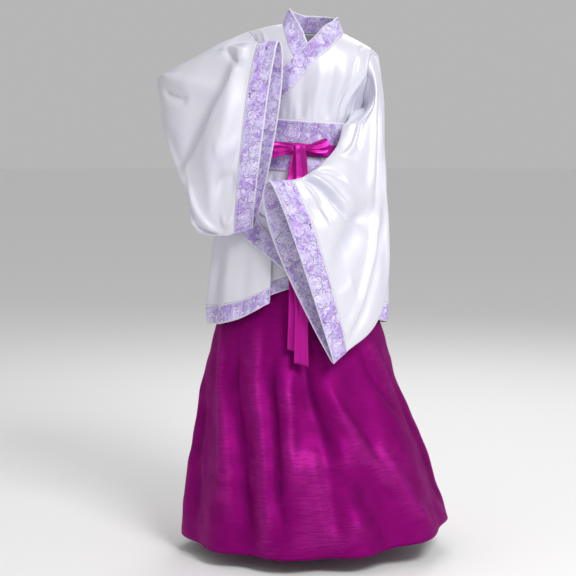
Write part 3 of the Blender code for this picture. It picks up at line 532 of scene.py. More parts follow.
# Brocade figures: the levels over which each fades in. A line's two levels are how far from its middle
# it has faded out and is full.
SCROLL_LEVELS, SCROLL_LINE, SCROLL_SHOWN = (0.42, 0.55), (0.024, 0.009), (0.38, 0.48)
PALE_LEVEL, PALE_LINE = 0.48, (0.022, 0.008)
CLOUD_LEVELS, LEAF_LEVELS, SPECK_LEVELS = (0.46, 0.60), (0.55, 0.64), (0.42, 0.34)
FLOWER_RANDOM, FLOWER_TURN, FLOWER_SIZES, FLOWER_SHOWN = 0.7, 6.28, (0.4, 0.75), (0.46, 0.54)
PETALS, PETAL_ROUND, PETAL_REACH, PETAL_LINE = 5, 0.5, (0.19, 0.17), (0.022, 0.010)
FLOWER_EDGE, NOTCH_LEVELS, NOTCH_EDGE = (0.02, -0.02), (0.16, 0.06), (0.0, -0.02)
INNER_SHARE, INNER_LINE, SHADOW_OFF, SHADOW_LINE = 0.5, (0.016, 0.007), 0.034, (0.018, 0.006)
STITCH_LINE, STITCH_GAP, PIPING_EDGE = (0.0005, 0.0003), (-0.4, -0.2), 0.0004
# The figures from the lowest to the topmost: how strongly each covers what is under it, and its colour
LAYERS = (
    ("clouds", 0.85, "Cloud"), ("leaves", 0.45, "Cloud"), ("flowers", 0.22, "Light"),
    ("specks", 0.75, "Light"), ("pale lines", 0.7, "Light"), ("dark lines", 0.92, "Line"),
    ("petals", 0.85, "Light"), ("stitches", 1.0, "Piping"), ("piping", 1.0, "Piping"),
)
HEIGHTS = (("scrolls", 1.0), ("flowers", 0.7), ("stitches", 1.0), ("leaves", 0.4))
BROCADE_RELIEF = (0.0004, 1.0)

# Satin: levels of the cool clouds and their tone, and relief of the threads
SATIN_CLOUDS, SATIN_COOL, SATIN_RELIEF = (0.35, 0.65), (0.955, 0.95, 0.99), (0.00012, 0.6)

# Skirt and ribbon: share of the thick threads in the streaks, levels of streaks and patches, and relief
SLUB_SHARE, SLUB_LEVELS, SKIRT_RELIEF, RIBBON_RELIEF = 0.6, (0.38, 0.62), (0.0004, 1.0), (0.0005, 1.0)
# Tones of the skirt against its own colour: thin and thick streaks, then the painted shade of the
# troughs and the painted highlight of the ridges
SKIRT_TONES = ((0.92, 0.88, 0.93), (1.08, 1.3, 1.07), (0.62, 0.6, 0.66), (1.45, 14, 1.5))
# Levels and strength of the painted shade in the troughs, then of the painted highlight on the ridges,
# with the levels of the streaks that break the highlight up
PAINTED_SHADE_LEVELS, PAINTED_SHADE_STRENGTH = (0.42, 0.12), 0.7
PAINTED_HIGHLIGHT_LEVELS, PAINTED_HIGHLIGHT_STREAKS, PAINTED_HIGHLIGHT_STRENGTH = (0.52, 0.90), (0.38, 0.60), (0.55, 0.25)
# What patches add to the height of a fold, which sets the painted shade and the painted highlight,
# and how they and the matt side change the roughness: a factor and a number added
PAINTED_LIGHT_PATCHES, SKIRT_ROUGHNESS, RIBBON_ROUGHNESS = (0.9, -0.45), (-0.26, 0.68), (0.24, 0.34)
# The ribbon's two tones. Its matt side starts and is full this far down a tail, and has a tone of the
# skirt's colour.
RIBBON_TONES, MATT_PLACES, MATT_TONE = (0.72, 1.2), (-0.10, -0.30), (1.9, 12, 1.9)

# Stage. Lamps: name, place, size, power
FLOOR_Z, FLOOR_RADIUS = -1.282, 30.0
SKY = 0.47
LAMPS = (
    ("key", (1.5, -3.0, 1.9), 1.5, 110.0),
    ("side", (-2.6, -1.6, 0.4), 1.6, 1.5),
    ("fill", (2.6, -2.4, 0.6), 1.6, 3.0),
    ("back", (0.6, 2.6, 1.6), 2.0, 34.0),
)
LAMPS_AIM = (-0.03, 0.0, -0.55)
CAMERA, CAMERA_TILT = (-0.0686, -3.978, -0.219), 6.0
LENS_MM, SENSOR_MM = 102.04, 36.0


def curve(u, value, following, slope, following_slope, length=1):
    """Cubic curve from a value to the following one by their slopes, at a share u of the length."""
    ends = (1 + 2 * u) * (1 - u) ** 2 * value + u**2 * (3 - 2 * u) * following
    return ends + length * (u * (1 - u) ** 2 * slope - u**2 * (1 - u) * following_slope)


def along(table, at):
    """Columns of a table at places along its first one, smooth and never past a row's values. A row's
    slope is the harmonic mean of the rises before and after it, or 0 where one rises and one falls."""
    rows = np.array(table, float)
    place, value = rows[:, 0], rows[:, 1:]
    length = np.diff(place)
    rise = np.diff(value, axis=0) / length[:, None]
    before, after = rise[:-1], rise[1:]
    total = np.where(before + after == 0, 1, before + after)
    mean = np.where(before * after > 0, 2 * before * after / total, 0)
    slope = np.vstack([rise[:1], mean, rise[-1:]])
    at = np.clip(np.asarray(at, float), place[0], place[-1])
    i = np.clip(np.searchsorted(place, at, side="right") - 1, 0, len(length) - 1)
    u = ((at - place[i]) / length[i])[..., None]
    return curve(u, value[i], value[i + 1], slope[i], slope[i + 1], length[i][..., None])


def finer(points, by, axis):
    """A grid with more points between the given ones, on cubic curves through them."""
    points = np.moveaxis(points, axis, 0)
    at = np.linspace(0, len(points) - 1, (len(points) - 1) * by + 1)
    i = np.minimum(at.astype(int), len(points) - 2)
    u = (at - i).reshape(-1, *[1] * (points.ndim - 1))
    slope = np.gradient(points, axis=0)
    return np.moveaxis(curve(u, points[i], points[i + 1], slope[i], slope[i + 1]), 0, axis)


def smooth(t):
    """Soft step: three times the square less twice the cube, with t held between 0 and 1."""
    t = np.clip(t, 0, 1)
    return t * t * (3 - 2 * t)


def between(ends, at):
    """Soft step from 0 at the first end to 1 at the second."""
    return smooth((at - ends[0]) / (ends[1] - ends[0]))


def within(rise, fall, at):
    """1 between two soft steps, one up and one down."""
    return between(rise, at) * (1 - between(fall, at))


def bell(off, width):
    """1 in the middle and falling off on both sides: e to the power of minus the square."""
    return np.exp(-((off / width) ** 2))


def wrapped(angle, turn=360):
    """The angle less whole turns, so that it lies within half a turn of 0."""
    return (angle + turn / 2) % turn - turn / 2


def halfway(turn):
    """Share of the way from one end of a ring to the other and back: half of 1 less the cosine."""
    return (1 - np.cos(turn)) / 2


def unit(vectors):
    """Vectors divided by their lengths."""
    return vectors / np.linalg.norm(vectors, axis=-1, keepdims=True)


def on_body(angle, drop):
    """Point of the jacket's middle surface. The angle in degrees goes from the front to the wearer's
    left. The drop is the cloth's length from the shoulder line, down the back where it is negative. Over
    the shoulder the rings turn a quarter circle down from the line, and below it they hang."""
    turn, down = np.radians(angle), np.abs(drop)
    shoulder = np.clip(down / SHOULDER_DROP, 0, 1)
    hanging = np.maximum(down - SHOULDER_DROP, 0)
    ring = along(BODY, CHEST_Z - hanging)
    wide = TOP_HALF_WIDTH + (ring[..., 0] - TOP_HALF_WIDTH) * shoulder
    middle = TOP_CENTRE_X + (ring[..., 2] - TOP_CENTRE_X) * shoulder
    x = middle + wide * np.sin(turn)
    ridge = along(RIDGE, x)[..., 0]
    lean = shoulder * np.pi / 2
    z = CHEST_Z + (ridge - CHEST_Z) * np.cos(lean) - hanging
    y = -np.sign(drop) * ring[..., 1] * np.cos(turn) * np.sin(lean)
    return np.stack([x, y, z], -1)


def body_steps(angle, drop):
    """How far a degree round and a metre down move a point of the jacket."""
    round_by, down_by = 0.5, 0.002
    across = (on_body(angle + round_by, drop) - on_body(angle - round_by, drop)) / (2 * round_by)
    along_drop = (on_body(angle, drop + down_by) - on_body(angle, drop - down_by)) / (2 * down_by)
    return across, along_drop


def body(angle, drop, out=0.0):
    """Point of the jacket, moved out from its middle surface by a lift and by the folds of the cloth."""
    angle, drop, out = np.broadcast_arrays(*(np.asarray(a, float) for a in (angle, drop, out)))
    across, along_drop = body_steps(angle, drop)
    out = out + bpy.context.scene.hanfu.fold_depth * jacket_folds(angle, drop)
    return on_body(angle, drop) + unit(np.cross(along_drop, across)) * out[..., None]


def seam_angle(drop, width=SEAM):
    """Degrees that a seam's width takes up round the jacket at this drop."""
    across, _ = body_steps(np.full_like(drop, SEAM_MEASURED_AT), drop)
    return width / np.linalg.norm(across, axis=-1)


def armhole_angle(side, drop, seam=-1):
    """Angle of the armhole's edge and of the side seam under it, without the side's sign. It opens by
    the sine of the share of the armhole's depth, and a seam's width is taken off or, with 1, added."""
    share = np.clip(np.abs(drop) / ARMHOLE_DROP[side], 0, 1)
    return 90 - ARMHOLE_OPEN * np.sin(np.pi * share) + seam * seam_angle(drop)


def outer_lift(angle, drop):
    """The outer front stands off the inner one, most where the hem of the inner one folds."""
    over = between(OUTER_LIFT_ANGLES, angle) * between(OUTER_LIFT_DROPS, drop)
    return over * (OUTER_LIFT + OUTER_LIFT_LOW * between(RISE_DROPS, drop))


def parted(points, drop, side):
    """Points drawn a seam's width away from the shoulder line, to the front with side -1."""
    points[..., 1] += side * SEAM * (1 - smooth(drop / SHOULDER_SEAM_DROP))
    return points


def back_points(rows):
    """Back: columns run between the armholes and side seams, rows from the neckline to the hem."""
    down = rows[:, None]
    right, left = -armhole_angle("right", down), armhole_angle("left", down)
    angle = right + (left - right) * ACROSS
    neck = np.where(np.abs(angle) < NECK_ANGLE, -along(BACK_NECK, angle)[..., 0], 0)
    top = neck + BACK_TOP_SEAM * SEAM
    drop = top + down * (HEM_DROP - top) / HEM_DROP
    return parted(body(angle, -drop), drop, 1)


def hemmed(down, hem):
    """Rows of a front, level down to the hip and from there shortened to its own hem."""
    low = HIP_DROP + (down - HIP_DROP) * (hem - HIP_DROP) / (HEM_DROP - HIP_DROP)
    return np.where(down > HIP_DROP, low, np.maximum(down, SEAM) + 0 * hem)


def outer_points(rows):
    """Outer front: columns run from the left armhole and side seam to the edge band's seam."""
    down = rows[:, None]
    side = armhole_angle("left", down)
    edge = along(OUTER_EDGE, down)[..., 0] + seam_angle(down)
    angle = side + (edge - side) * ACROSS
    drop = hemmed(down, along(OUTER_HEM, angle)[..., 0])
    return parted(body(angle, drop, outer_lift(angle, drop)), drop, -1)


def inner_points(rows):
    """Inner front: straight down to the waist, then gathered into one deep fold at the hem. Columns are
    closest together where the cloth folds back on itself."""
    share = np.unique(np.concatenate([np.linspace(*run) for run in INNER_SHARES]))
    down = rows[:, None]
    side = -armhole_angle("right", down)
    edge = along(INNER_EDGE, down)[..., 0] - seam_angle(down)
    fold_angle, fold_out, hem = along(FOLD, share).T
    folded = between(FOLD_DROPS, down)
    straight = side + (edge - side) * share
    angle = straight + (fold_angle - straight) * folded
    ramp = RAMP_OUT * np.clip((RAMP_SHARES[1] - share) / (RAMP_SHARES[1] - RAMP_SHARES[0]), 0, 1)
    rising = np.where(share > RAMP_SHARES[0], ramp, fold_out)
    out = (rising + (fold_out - rising) * folded) * between(RISE_DROPS, down)
    drop = hemmed(down, hem)
    return parted(body(angle, drop, out), drop, -1)


def band_grid(angle, drop, stand, lift):
    """A band of cloth along a seam. It lies on the jacket, or stands up round the neck by its stand.
    It is laid out on a few places, with more put between them on curves."""
    widths = np.linspace(SEAM / 2, BAND_WIDTH, BAND_PLACES)
    across, along_drop = body_steps(angle, drop)
    wide, long = (np.linalg.norm(step, axis=-1) for step in (across, along_drop))
    tangent = unit(np.stack([np.gradient(angle) * wide, np.gradient(drop) * long], -1))
    laid = np.stack([
        angle[:, None] + (tangent[:, 1] / wide)[:, None] * widths,
        drop[:, None] - (tangent[:, 0] / long)[:, None] * widths,
    ], -1)
    laid = finer(finer(laid, BAND_FINER, 0), BAND_FINER // 2, 1)
    angle, drop, stand, lift = finer(np.stack([angle, drop, stand, lift], -1), BAND_FINER, 0).T
    width = finer(widths, BAND_FINER // 2, 0)[:, None]
    lying = body(laid[..., 0], laid[..., 1], lift[:, None])
    seam = body(angle, drop, lift)
    outward = unit(seam[:, :2] - np.array(NECK_CENTRE))
    rise = unit(np.column_stack([-COLLAR_LEAN * outward, np.ones(len(angle))]))
    standing = seam[:, None] + rise[:, None] * width
    return lying + (standing - lying) * stand[:, None, None]


def collar_points():
    """From the outer front's waist, round the neck, to the inner front's waist."""
    neck_angles = np.array(BACK_NECK)[::-1, 0]
    outer_drops, inner_drops = COLLAR_DROPS[:0:-1], COLLAR_DROPS[1:]
    outer, neck, inner = (
        along(table, at).T
        for table, at in ((OUTER_EDGE, outer_drops), (BACK_NECK, neck_angles), (INNER_EDGE, inner_drops)))
    angle = np.concatenate([outer[0], neck_angles, inner[0]])
    drop = np.concatenate([outer_drops, neck[0], inner_drops])
    stand = np.concatenate([outer[1], neck[1], inner[1]])
    lift = np.concatenate([outer_lift(outer[0], outer_drops), 0 * neck_angles, 0 * inner_drops])
    return band_grid(angle, drop, stand, lift)


def edge_band_points():
    """Along the outer front's edge from its corner up to the waist. No part of it stands up."""
    angle = along(OUTER_EDGE, EDGE_BAND_DROPS)[:, 0]
    return band_grid(angle, EDGE_BAND_DROPS, 0 * angle, outer_lift(angle, EDGE_BAND_DROPS))


def sleeve_grid(table, shares):
    """Sections of a sleeve: each is a flattened ring between its top and its low edge."""
    rows = along(table, shares)[:, None, :]
    top, low, normal = rows[..., 0:3], rows[..., 3:6], rows[..., 6:9]
    near, far, belly = rows[..., 9], rows[..., 10], rows[..., 11]
    full = np.sin(TURNS) * (1 + belly * np.cos(TURNS))
    span = low - top
    normal = unit(normal - unit(span) * (normal * unit(span)).sum(-1, keepdims=True))
    off = full * np.where(full > 0, near, far)
    return top + span * halfway(TURNS)[:, None] + normal * off[..., None]


def armhole_ring(side):
    """The armhole's edge in the same order as a sleeve's sections."""
    down = halfway(TURNS) if side == "right" else 1 - halfway(TURNS)
    drop = ARMHOLE_DROP[side] * down
    front = np.where((AROUND <= 0.5) == (side == "left"), 1, -1)
    return body(SIDE[side] * armhole_angle(side, drop, 1), front * np.maximum(drop, SMALLEST_DROP))


def raised_fold(shares):
    """How far the right sleeve's first leaf is lifted where its upper cloth folds over."""
    down = halfway(TURNS)
    start = along(RAISED_FOLD, down)[:, 0]
    leaf = np.sqrt(np.sin(TURNS).clip(0, 1)) * (AROUND < 0.5) * (1 - between(RAISED_FOLD_LOW, down))
    rise = smooth((shares[:, None] - start) / RAISED_FOLD_WIDTH + 0.5)
    fade = 1 - between(RAISED_FOLD_ENDS, shares)
    return RAISED_FOLD_HEIGHT * rise * fade[:, None] * leaf


def sleeve_folds(points, shares, scale, table):
    """Sleeve points moved out by their creases. The share runs on past 1 over the cuff."""
    out = normals_of(points, True)
    out = out * np.sign(((points - points.mean(1, keepdims=True)) * out).sum())
    share = shares[:, None]
    height = creased(share, AROUND, scale, table, 1.0) + uneven(share * scale[0], AROUND, SLEEVE_UNEVEN)
    height = bpy.context.scene.hanfu.fold_depth * height * between(ARMHOLE_SHARES, share)
    return points + out * height[..., None]


def right_sleeve_points():
    """The sections near the armhole are drawn to its edge, and the raised fold lifts the first leaf."""
    shares = np.linspace(SLEEVE_START, 1, SLEEVE_ROWS["right"])
    pull = 1 - smooth(shares / ARMHOLE_REACH)
    off = armhole_ring("right") - sleeve_grid(RIGHT_SLEEVE, np.zeros(1))[0]
    out = unit(along(RIGHT_SLEEVE, shares)[:, None, 6:9])
    grid = sleeve_grid(RIGHT_SLEEVE, shares) + pull[:, None, None] * off
    return sleeve_folds(grid + raised_fold(shares)[..., None] * out, shares, *CREASES["right"])


def left_sleeve_points():
    """The sections curve from the armhole to the table's first one, on a parabola led out by the bend,
    then follow the table."""
    shares = np.linspace(SLEEVE_START, 1, SLEEVE_ROWS["left"])
    first = LEFT_SLEEVE[0][0]
    ring = armhole_ring("left")
    t = np.clip(shares / first, 0, 1)[:, None, None]
    bent = (1 - t) ** 2 * ring + 2 * t * (1 - t) * (ring + along(BEND, AROUND))
    bent = bent + t**2 * sleeve_grid(LEFT_SLEEVE, np.array([first]))
    grid = np.where(t < 1, bent, sleeve_grid(LEFT_SLEEVE, shares))
    return sleeve_folds(grid, shares, *CREASES["left"])


def cuff_points(side, table):
    """The sections of a cuff, with the sleeve's creases running on over it."""
    shares = np.linspace(CUFF_START, 1, CUFF_ROWS)
    grid = sleeve_grid(table, shares)
    return sleeve_folds(grid, 1 + shares * BAND_WIDTH / CREASES[side][0][0], *CREASES[side])


def waist_ring(top, low, lift, rows):
    """A level ring round the jacket's waist, tilted to one side by the sine of the angle."""
    angle = np.arange(WAIST_COLUMNS) * 360 / WAIST_COLUMNS - 180
    drop = np.linspace(top, low, rows)[:, None] + WAIST_TILT * np.sin(np.radians(angle))
    behind = np.abs(angle) > 90
    front = np.where(behind, np.sign(angle) * 180 - angle, angle)
    return body(front, np.where(behind, -1, 1) * drop, lift)


def waistband_points():
    """The waistband has a few flat creases round it, all of them inwards."""
    ring = waist_ring(WAISTBAND_TOP, WAISTBAND_LOW, WAISTBAND_LIFT, WAISTBAND_ROWS)
    down = np.linspace(0, 1, WAISTBAND_ROWS)[:, None]
    turn = np.linspace(0, 2 * np.pi, WAIST_COLUMNS, endpoint=False)
    pressed = sum(
        depth * bell(down - place - sway * np.sin(turn * 2 + start), WAISTBAND_CREASE_WIDTH)
        for place, sway, start, depth in WAISTBAND_CREASES)
    inwards = unit((ring.mean(1, keepdims=True) - ring) * (1, 1, 0))
    return ring + inwards * pressed[..., None]


def swung(waves, share, across):
    """Waves along a strip: a sine of the share and of how far across, which grows from nothing."""
    height, count, start, lean, grows = waves
    return height * np.sin(2 * np.pi * (count * share + lean * across) + start) * smooth(share / grows)


def strip(rows, columns):
    """Shares down a strip and places across it from -1 to 1."""
    return np.linspace(0, 1, rows)[:, None], np.linspace(-1, 1, columns)


def tail_points(table):
    """A tail of ribbon down its middle line, curled a little across, turned by slow waves, with a crease
    along it and an end cut on a slant."""
    share, across = strip(*TAIL_GRID)
    share = share**TAIL_SPACING
    x, y, z, half = np.moveaxis(along(table, share), -1, 0)
    curl = TAIL_CURL * across**2 * smooth(share / TAIL_CURL_GROWS)
    line = TAIL_CREASE_PLACE + TAIL_CREASE_SWAY[0] * np.sin(TAIL_CREASE_SWAY[1] * share)
    crease = bell(across - line, TAIL_CREASE_WIDTH) * smooth(share / TAIL_CREASE_GROWS)
    wave = swung(TAIL_WAVE, share, across) + TAIL_CREASE * crease
    slant = TAIL_SLANT * across * between(TAIL_SLANT_SHARES, share)
    return np.stack([x + swung(TAIL_SWAY, share, across) + half * across, y - curl + wave, z - slant], -1)


def loop_points(table):
    """A bow loop: the ribbon runs out from the knot and back, narrow at the knot and widest where it
    turns. Its front half lies lower than its back half where it is open, and creases spread from the
    knot."""
    root_x, root_z, reach_x, reach_z, depth, half, opened = table
    t, across = strip(*LOOP_GRID)
    out = np.sin(np.pi * t).clip(0) ** LOOP_ROUND
    wide = half * (LOOP_NECK + (1 - LOOP_NECK) * out**LOOP_SPREAD)
    crease = LOOP_CREASE * np.cos(LOOP_CREASE_WAVES * np.pi * across + LOOP_CREASE_TURN * t)
    crease = crease * (1 - LOOP_CREASE_FADE * out) * smooth(out / LOOP_CREASE_GROWS)
    x = root_x + reach_x * out * (1 - LOOP_BULGE * across**2)
    y = LOOP_BACK_Y - 2 * depth * halfway(np.pi * t) + crease
    z = root_z + reach_z * out + wide * across + opened * np.cos(np.pi * t) * out
    return np.stack([x, y, z], -1)


def knot_points():
    """The ribbon wound once round the bow's middle, drawn in at both sides, with soft creases."""
    rows, columns = KNOT_GRID
    across = np.linspace(-1, 1, rows)[:, None]
    turn = np.linspace(0, 2 * np.pi, columns, endpoint=False)
    sway = KNOT_CREASE_SWAY[0] * np.sin(turn + KNOT_CREASE_SWAY[1])
    thin = 1 + KNOT_CREASE * np.cos(KNOT_CREASE_WAVES * np.pi * across + sway)
    thin = thin * (1 - KNOT_DRAWN_IN * across**2)
    y, z = (thin * np.sign(wave) * np.abs(wave) ** KNOT_SQUARE for wave in (np.cos(turn), np.sin(turn)))
    points = np.stack([across + 0 * turn, y, z], -1) * KNOT_SIZE + KNOT_MIDDLE
    points[..., 2] -= KNOT_TILT * across
    return points


def skirt(angle, z):
    """Point of the skirt at an angle from the front and a height, with its soft folds."""
    ring = along(SKIRT, z)
    turn = np.radians(angle)
    wave = sum(out * bell(wrapped(angle - middle), half) for middle, half, out in PLEATS)
    off = between((PLEAT_TOP_Z, PLEAT_FULL_Z), z) * wave
    x = ring[..., 2] + (ring[..., 0] + off) * np.sin(turn)
    y = -(ring[..., 1] + off) * np.cos(turn)
    return np.stack([x, y, z + 0 * x], -1)


def skirt_grid(ends):
    """Angles and heights of a panel's rows and columns, between two angles."""
    rows, columns = SKIRT_GRID
    angle = np.linspace(*ends, columns)[None, :]
    down = np.linspace(0, 1, rows)[:, None]
    return angle, SKIRT_TOP_Z + down * (along(SKIRT_HEM, wrapped(angle))[..., 0] - SKIRT_TOP_Z)


def skirt_folds(angle, z):
    """How far the worn skirt stands off its plain form. Behind, it is drawn in a little under the
    jacket's hem, clear of the hem band."""
    height = creased(z, angle, SKIRT_CREASE_SCALE, SKIRT_CREASES, 360.0)
    height = (height + uneven(z, angle / 180, SKIRT_UNEVEN)) * between(SKIRT_FOLD_DEPTHS, -z)
    back = between(HEM_TUCK_ANGLES, np.abs(wrapped(angle)))
    tuck = HEM_TUCK * back * bell(z - HEM_TUCK_Z, HEM_TUCK_REACH)
    return bpy.context.scene.hanfu.fold_depth * height - tuck


def skirt_points(ends):
    """Points of a panel, moved straight out at their angle by the folds."""
    angle, z = skirt_grid(ends)
    turn = np.radians(angle + 0 * z)
    out = np.stack([np.sin(turn), -np.cos(turn), 0 * turn], -1)
    return skirt(angle, z) + out * skirt_folds(angle, z)[..., None]


def skirt_waistband_points():
    """A ring of the skirt's own form above its panels."""
    rows, columns = SKIRT_BAND_GRID
    angle = np.linspace(-180, 180, columns, endpoint=False)[None, :]
    return skirt(angle, np.linspace(SKIRT_BAND_TOP_Z, SKIRT_TOP_Z + SEAM, rows)[:, None])


# Folds and creases

def creased(a, b, scale, table, turn):
    """Height of a table of creases at places (a, b). Across each crease the height is a bell, narrower
    on one side, and along it the height fades at both ends. The bend bows it like a parabola. A whole
    turn of b comes back to the same place."""
    total = 0.0
    for from_a, from_b, to_a, to_b, bend, width, height in table:
        run = np.array([to_a - from_a, to_b - from_b]) * scale
        length = np.hypot(*run)
        p, q = (a - from_a) * scale[0], wrapped(b - from_b, turn) * scale[1]
        t = (p * run[0] + q * run[1]) / length**2
        off = (q * run[0] - p * run[1]) / length - 4 * bend * t * (1 - t)
        reach = np.where(off > 0, width, CREASE_SHARP_SIDE * width)
        total = total + height * bell(off, reach) * within(*CREASE_FADES, t)
    return total


def uneven(a, b, height):
    """Slow waves in crossed directions added up. They meet themselves where b has gone up by 1."""
    return height * sum(share * np.sin(2 * np.pi * (down * a + around * b) + start)
                        for down, around, start, share in WAVES)


def jacket_folds(angle, drop):
    """How far the worn jacket stands off its plain form: upright folds above and below the waist, small
    gathers beside it, and creases that run from the shoulders and from the waist."""
    deep = np.abs(drop)
    turn = wrapped(np.where(drop >= 0, angle, 180 - angle))
    chest, hem = within(*CHEST_FOLD_DROPS, deep), between(HEM_FOLD_DROPS, deep)
    folds = sum(bell(wrapped(turn - middle), half) * (at_chest * chest + at_hem * hem)
                for middle, half, at_chest, at_hem in JACKET_FOLDS)
    gathers = sum(height * np.sin(np.radians(turn) * count + start) for count, start, height in GATHERS)
    gathers = gathers * (within(*UPPER_GATHER_DROPS, deep) + within(*LOWER_GATHER_DROPS, deep))
    free = 1 - between(ABOVE_WAIST_DROPS, deep) + between(BELOW_WAIST_DROPS, deep)
    small = creased(deep, turn, JACKET_CREASE_SCALE, JACKET_CREASES, 360.0)
    small = small + uneven(deep, turn / 360, JACKET_UNEVEN)
    return folds + gathers + small * free * between(SHOULDER_DROPS, deep)


# Meshes

def normals_of(points, closed=False):
    """Unit normals of a grid: the cross product of the steps down and across it."""
    if closed:
        across = (np.roll(points, -1, 1) - np.roll(points, 1, 1)) / 2
    else:
        across = np.gradient(points, axis=1)
    return unit(np.cross(np.gradient(points, axis=0), across))


def lengths(points, axis):
    """Running length of cloth along an axis of a grid, averaged over the other one."""
    step = np.linalg.norm(np.diff(points, axis=axis), axis=-1).mean(1 - axis)
    return np.concatenate([[0], np.cumsum(step)])


def make_cloth(
        name, points, material, wall, closed=False, along_rows=False, piping=False, fold=PLAIN_FOLD):
    """A shell about a grid of points, rows by columns. Its UV map is in metres of cloth. A closed grid
    joins its last column to its first. The edge attribute is the distance from the nearest long edge,
    and the fold attribute goes from 0 in a trough to 1 on a ridge."""
    shape = points.shape[:2]
    index = np.arange(points.shape[0] * points.shape[1]).reshape(shape)
    around = points
    if closed:
        index = np.hstack([index, index[:, :1]])
        around = np.concatenate([points, points[:, :1]], 1)
    u, v = lengths(around, 1), lengths(around, 0)
    place = np.stack(np.meshgrid(u - u[-1] / 2, -v), -1)
    if along_rows:
        place = place[..., ::-1] * (-1, 1)
    first, last = slice(None, -1), slice(1, None)
    corners = ((first, first), (last, first), (last, last), (first, last))
    faces, maps = (np.stack([grid[corner] for corner in corners], 2) for grid in (index, place))
    mesh = bpy.data.meshes.new(name + "_cloth")
    mesh.from_pydata(points.reshape(-1, 3).tolist(), [], faces.reshape(-1, 4).tolist())
    mesh.uv_layers.new(name="Cloth").data.foreach_set("uv", maps.ravel())
    across = u[None, :shape[1]] if along_rows else v[:, None]
    total = u[-1] if along_rows else v[-1]
    edge = np.minimum(across, total - across) if piping else 1.0
    for title, values in (("edge", edge), ("fold", fold)):
        values = np.broadcast_to(values, shape).ravel()
        mesh.attributes.new(title, "FLOAT", "POINT").data.foreach_set("value", values)
    mesh.shade_smooth()
    mesh.materials.append(material)
    piece = bpy.data.objects.new(name + "_cloth", mesh)
    bpy.context.scene.collection.objects.link(piece)
    solid = piece.modifiers.new("Wall", "SOLIDIFY")
    solid.thickness, solid.offset = wall, 0
    return piece


def declare(piece, node):
    """The piece stands in for its solid, which is hidden, and is parented to the root."""
    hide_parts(node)
    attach(piece, "root")


# Materials

def feed(tree, node, inputs):
    """Sets a node's inputs, by their names or places, to values, or links the sockets that feed them."""
    for key, value in dict(inputs).items():
        if isinstance(value, bpy.types.NodeSocket):
            tree.links.new(value, node.inputs[key])
        else:
            node.inputs[key].default_value = value


def put(tree, kind, inputs=(), **settings):
    """Adds a node with its settings and inputs, and gives its outputs."""
    made = tree.nodes.new(kind)
    for name, value in settings.items():
        setattr(made, name, value)
    feed(tree, made, inputs)
    return made.outputs


def maths(tree, operation, *values):
    """The result of one operation on values or sockets."""
    return put(tree, "ShaderNodeMath", enumerate(values), operation=operation)[0]


def times(tree, first, second):
    """The product of two values."""
    return maths(tree, "MULTIPLY", first, second)


def scaled(tree, value, by, more):
    """A value multiplied, with another added."""
    return maths(tree, "MULTIPLY_ADD", value, by, more)


def most(tree, first, *others):
    """The greatest of several values."""
    for value in others:
        first = maths(tree, "MAXIMUM", first, value)
    return first


def step(tree, value, low, high):
    """Soft step of a value from 0 at low to 1 at high."""
    inputs = {"Value": value, "From Min": low, "From Max": high}
    return put(tree, "ShaderNodeMapRange", inputs, interpolation_type="SMOOTHSTEP")[0]


def line(tree, value, level, ends):
    """1 where a value is near a level. It fades over two distances from the level."""
    return step(tree, maths(tree, "ABSOLUTE", maths(tree, "SUBTRACT", value, level)), *ends)


def mixed(tree, share, first, second):
    """Colour between two colours by a share."""
    return put(tree, "ShaderNodeMix", {0: share, 6: first, 7: second}, data_type="RGBA")[2]


def vectors(tree, operation, first, second):
    """The result of one operation on two vectors."""
    return put(tree, "ShaderNodeVectorMath", {0: first, 1: second}, operation=operation)[0]


def stretched(tree, place, scale):
    """A place with its two axes multiplied, by one number or by one each."""
    return vectors(tree, "MULTIPLY", place, (*np.broadcast_to(scale, 2), 1.0))


def noise(tree, place, kind):
    """One of the noises, from 0 to 1."""
    waves, detail, distortion = NOISES[kind]
    place = stretched(tree, place, waves)
    inputs = {"Vector": place, "Scale": 1.0, "Detail": detail, "Distortion": distortion}
    return put(tree, "ShaderNodeTexNoise", inputs, noise_dimensions="2D")[0]


def parts(tree, vector):
    """The three parts of a vector."""
    return put(tree, "ShaderNodeSeparateXYZ", {0: vector})


def new_group(name, inputs, outputs):
    """An empty shader node group with its two ends."""
    tree = bpy.data.node_groups.new(name, "ShaderNodeTree")
    for end, sockets in (("INPUT", inputs), ("OUTPUT", outputs)):
        for title, kind in sockets.items():
            tree.interface.new_socket(name=title, in_out=end, socket_type="NodeSocket" + kind)
    return tree, tree.nodes.new("NodeGroupInput").outputs, tree.nodes.new("NodeGroupOutput")


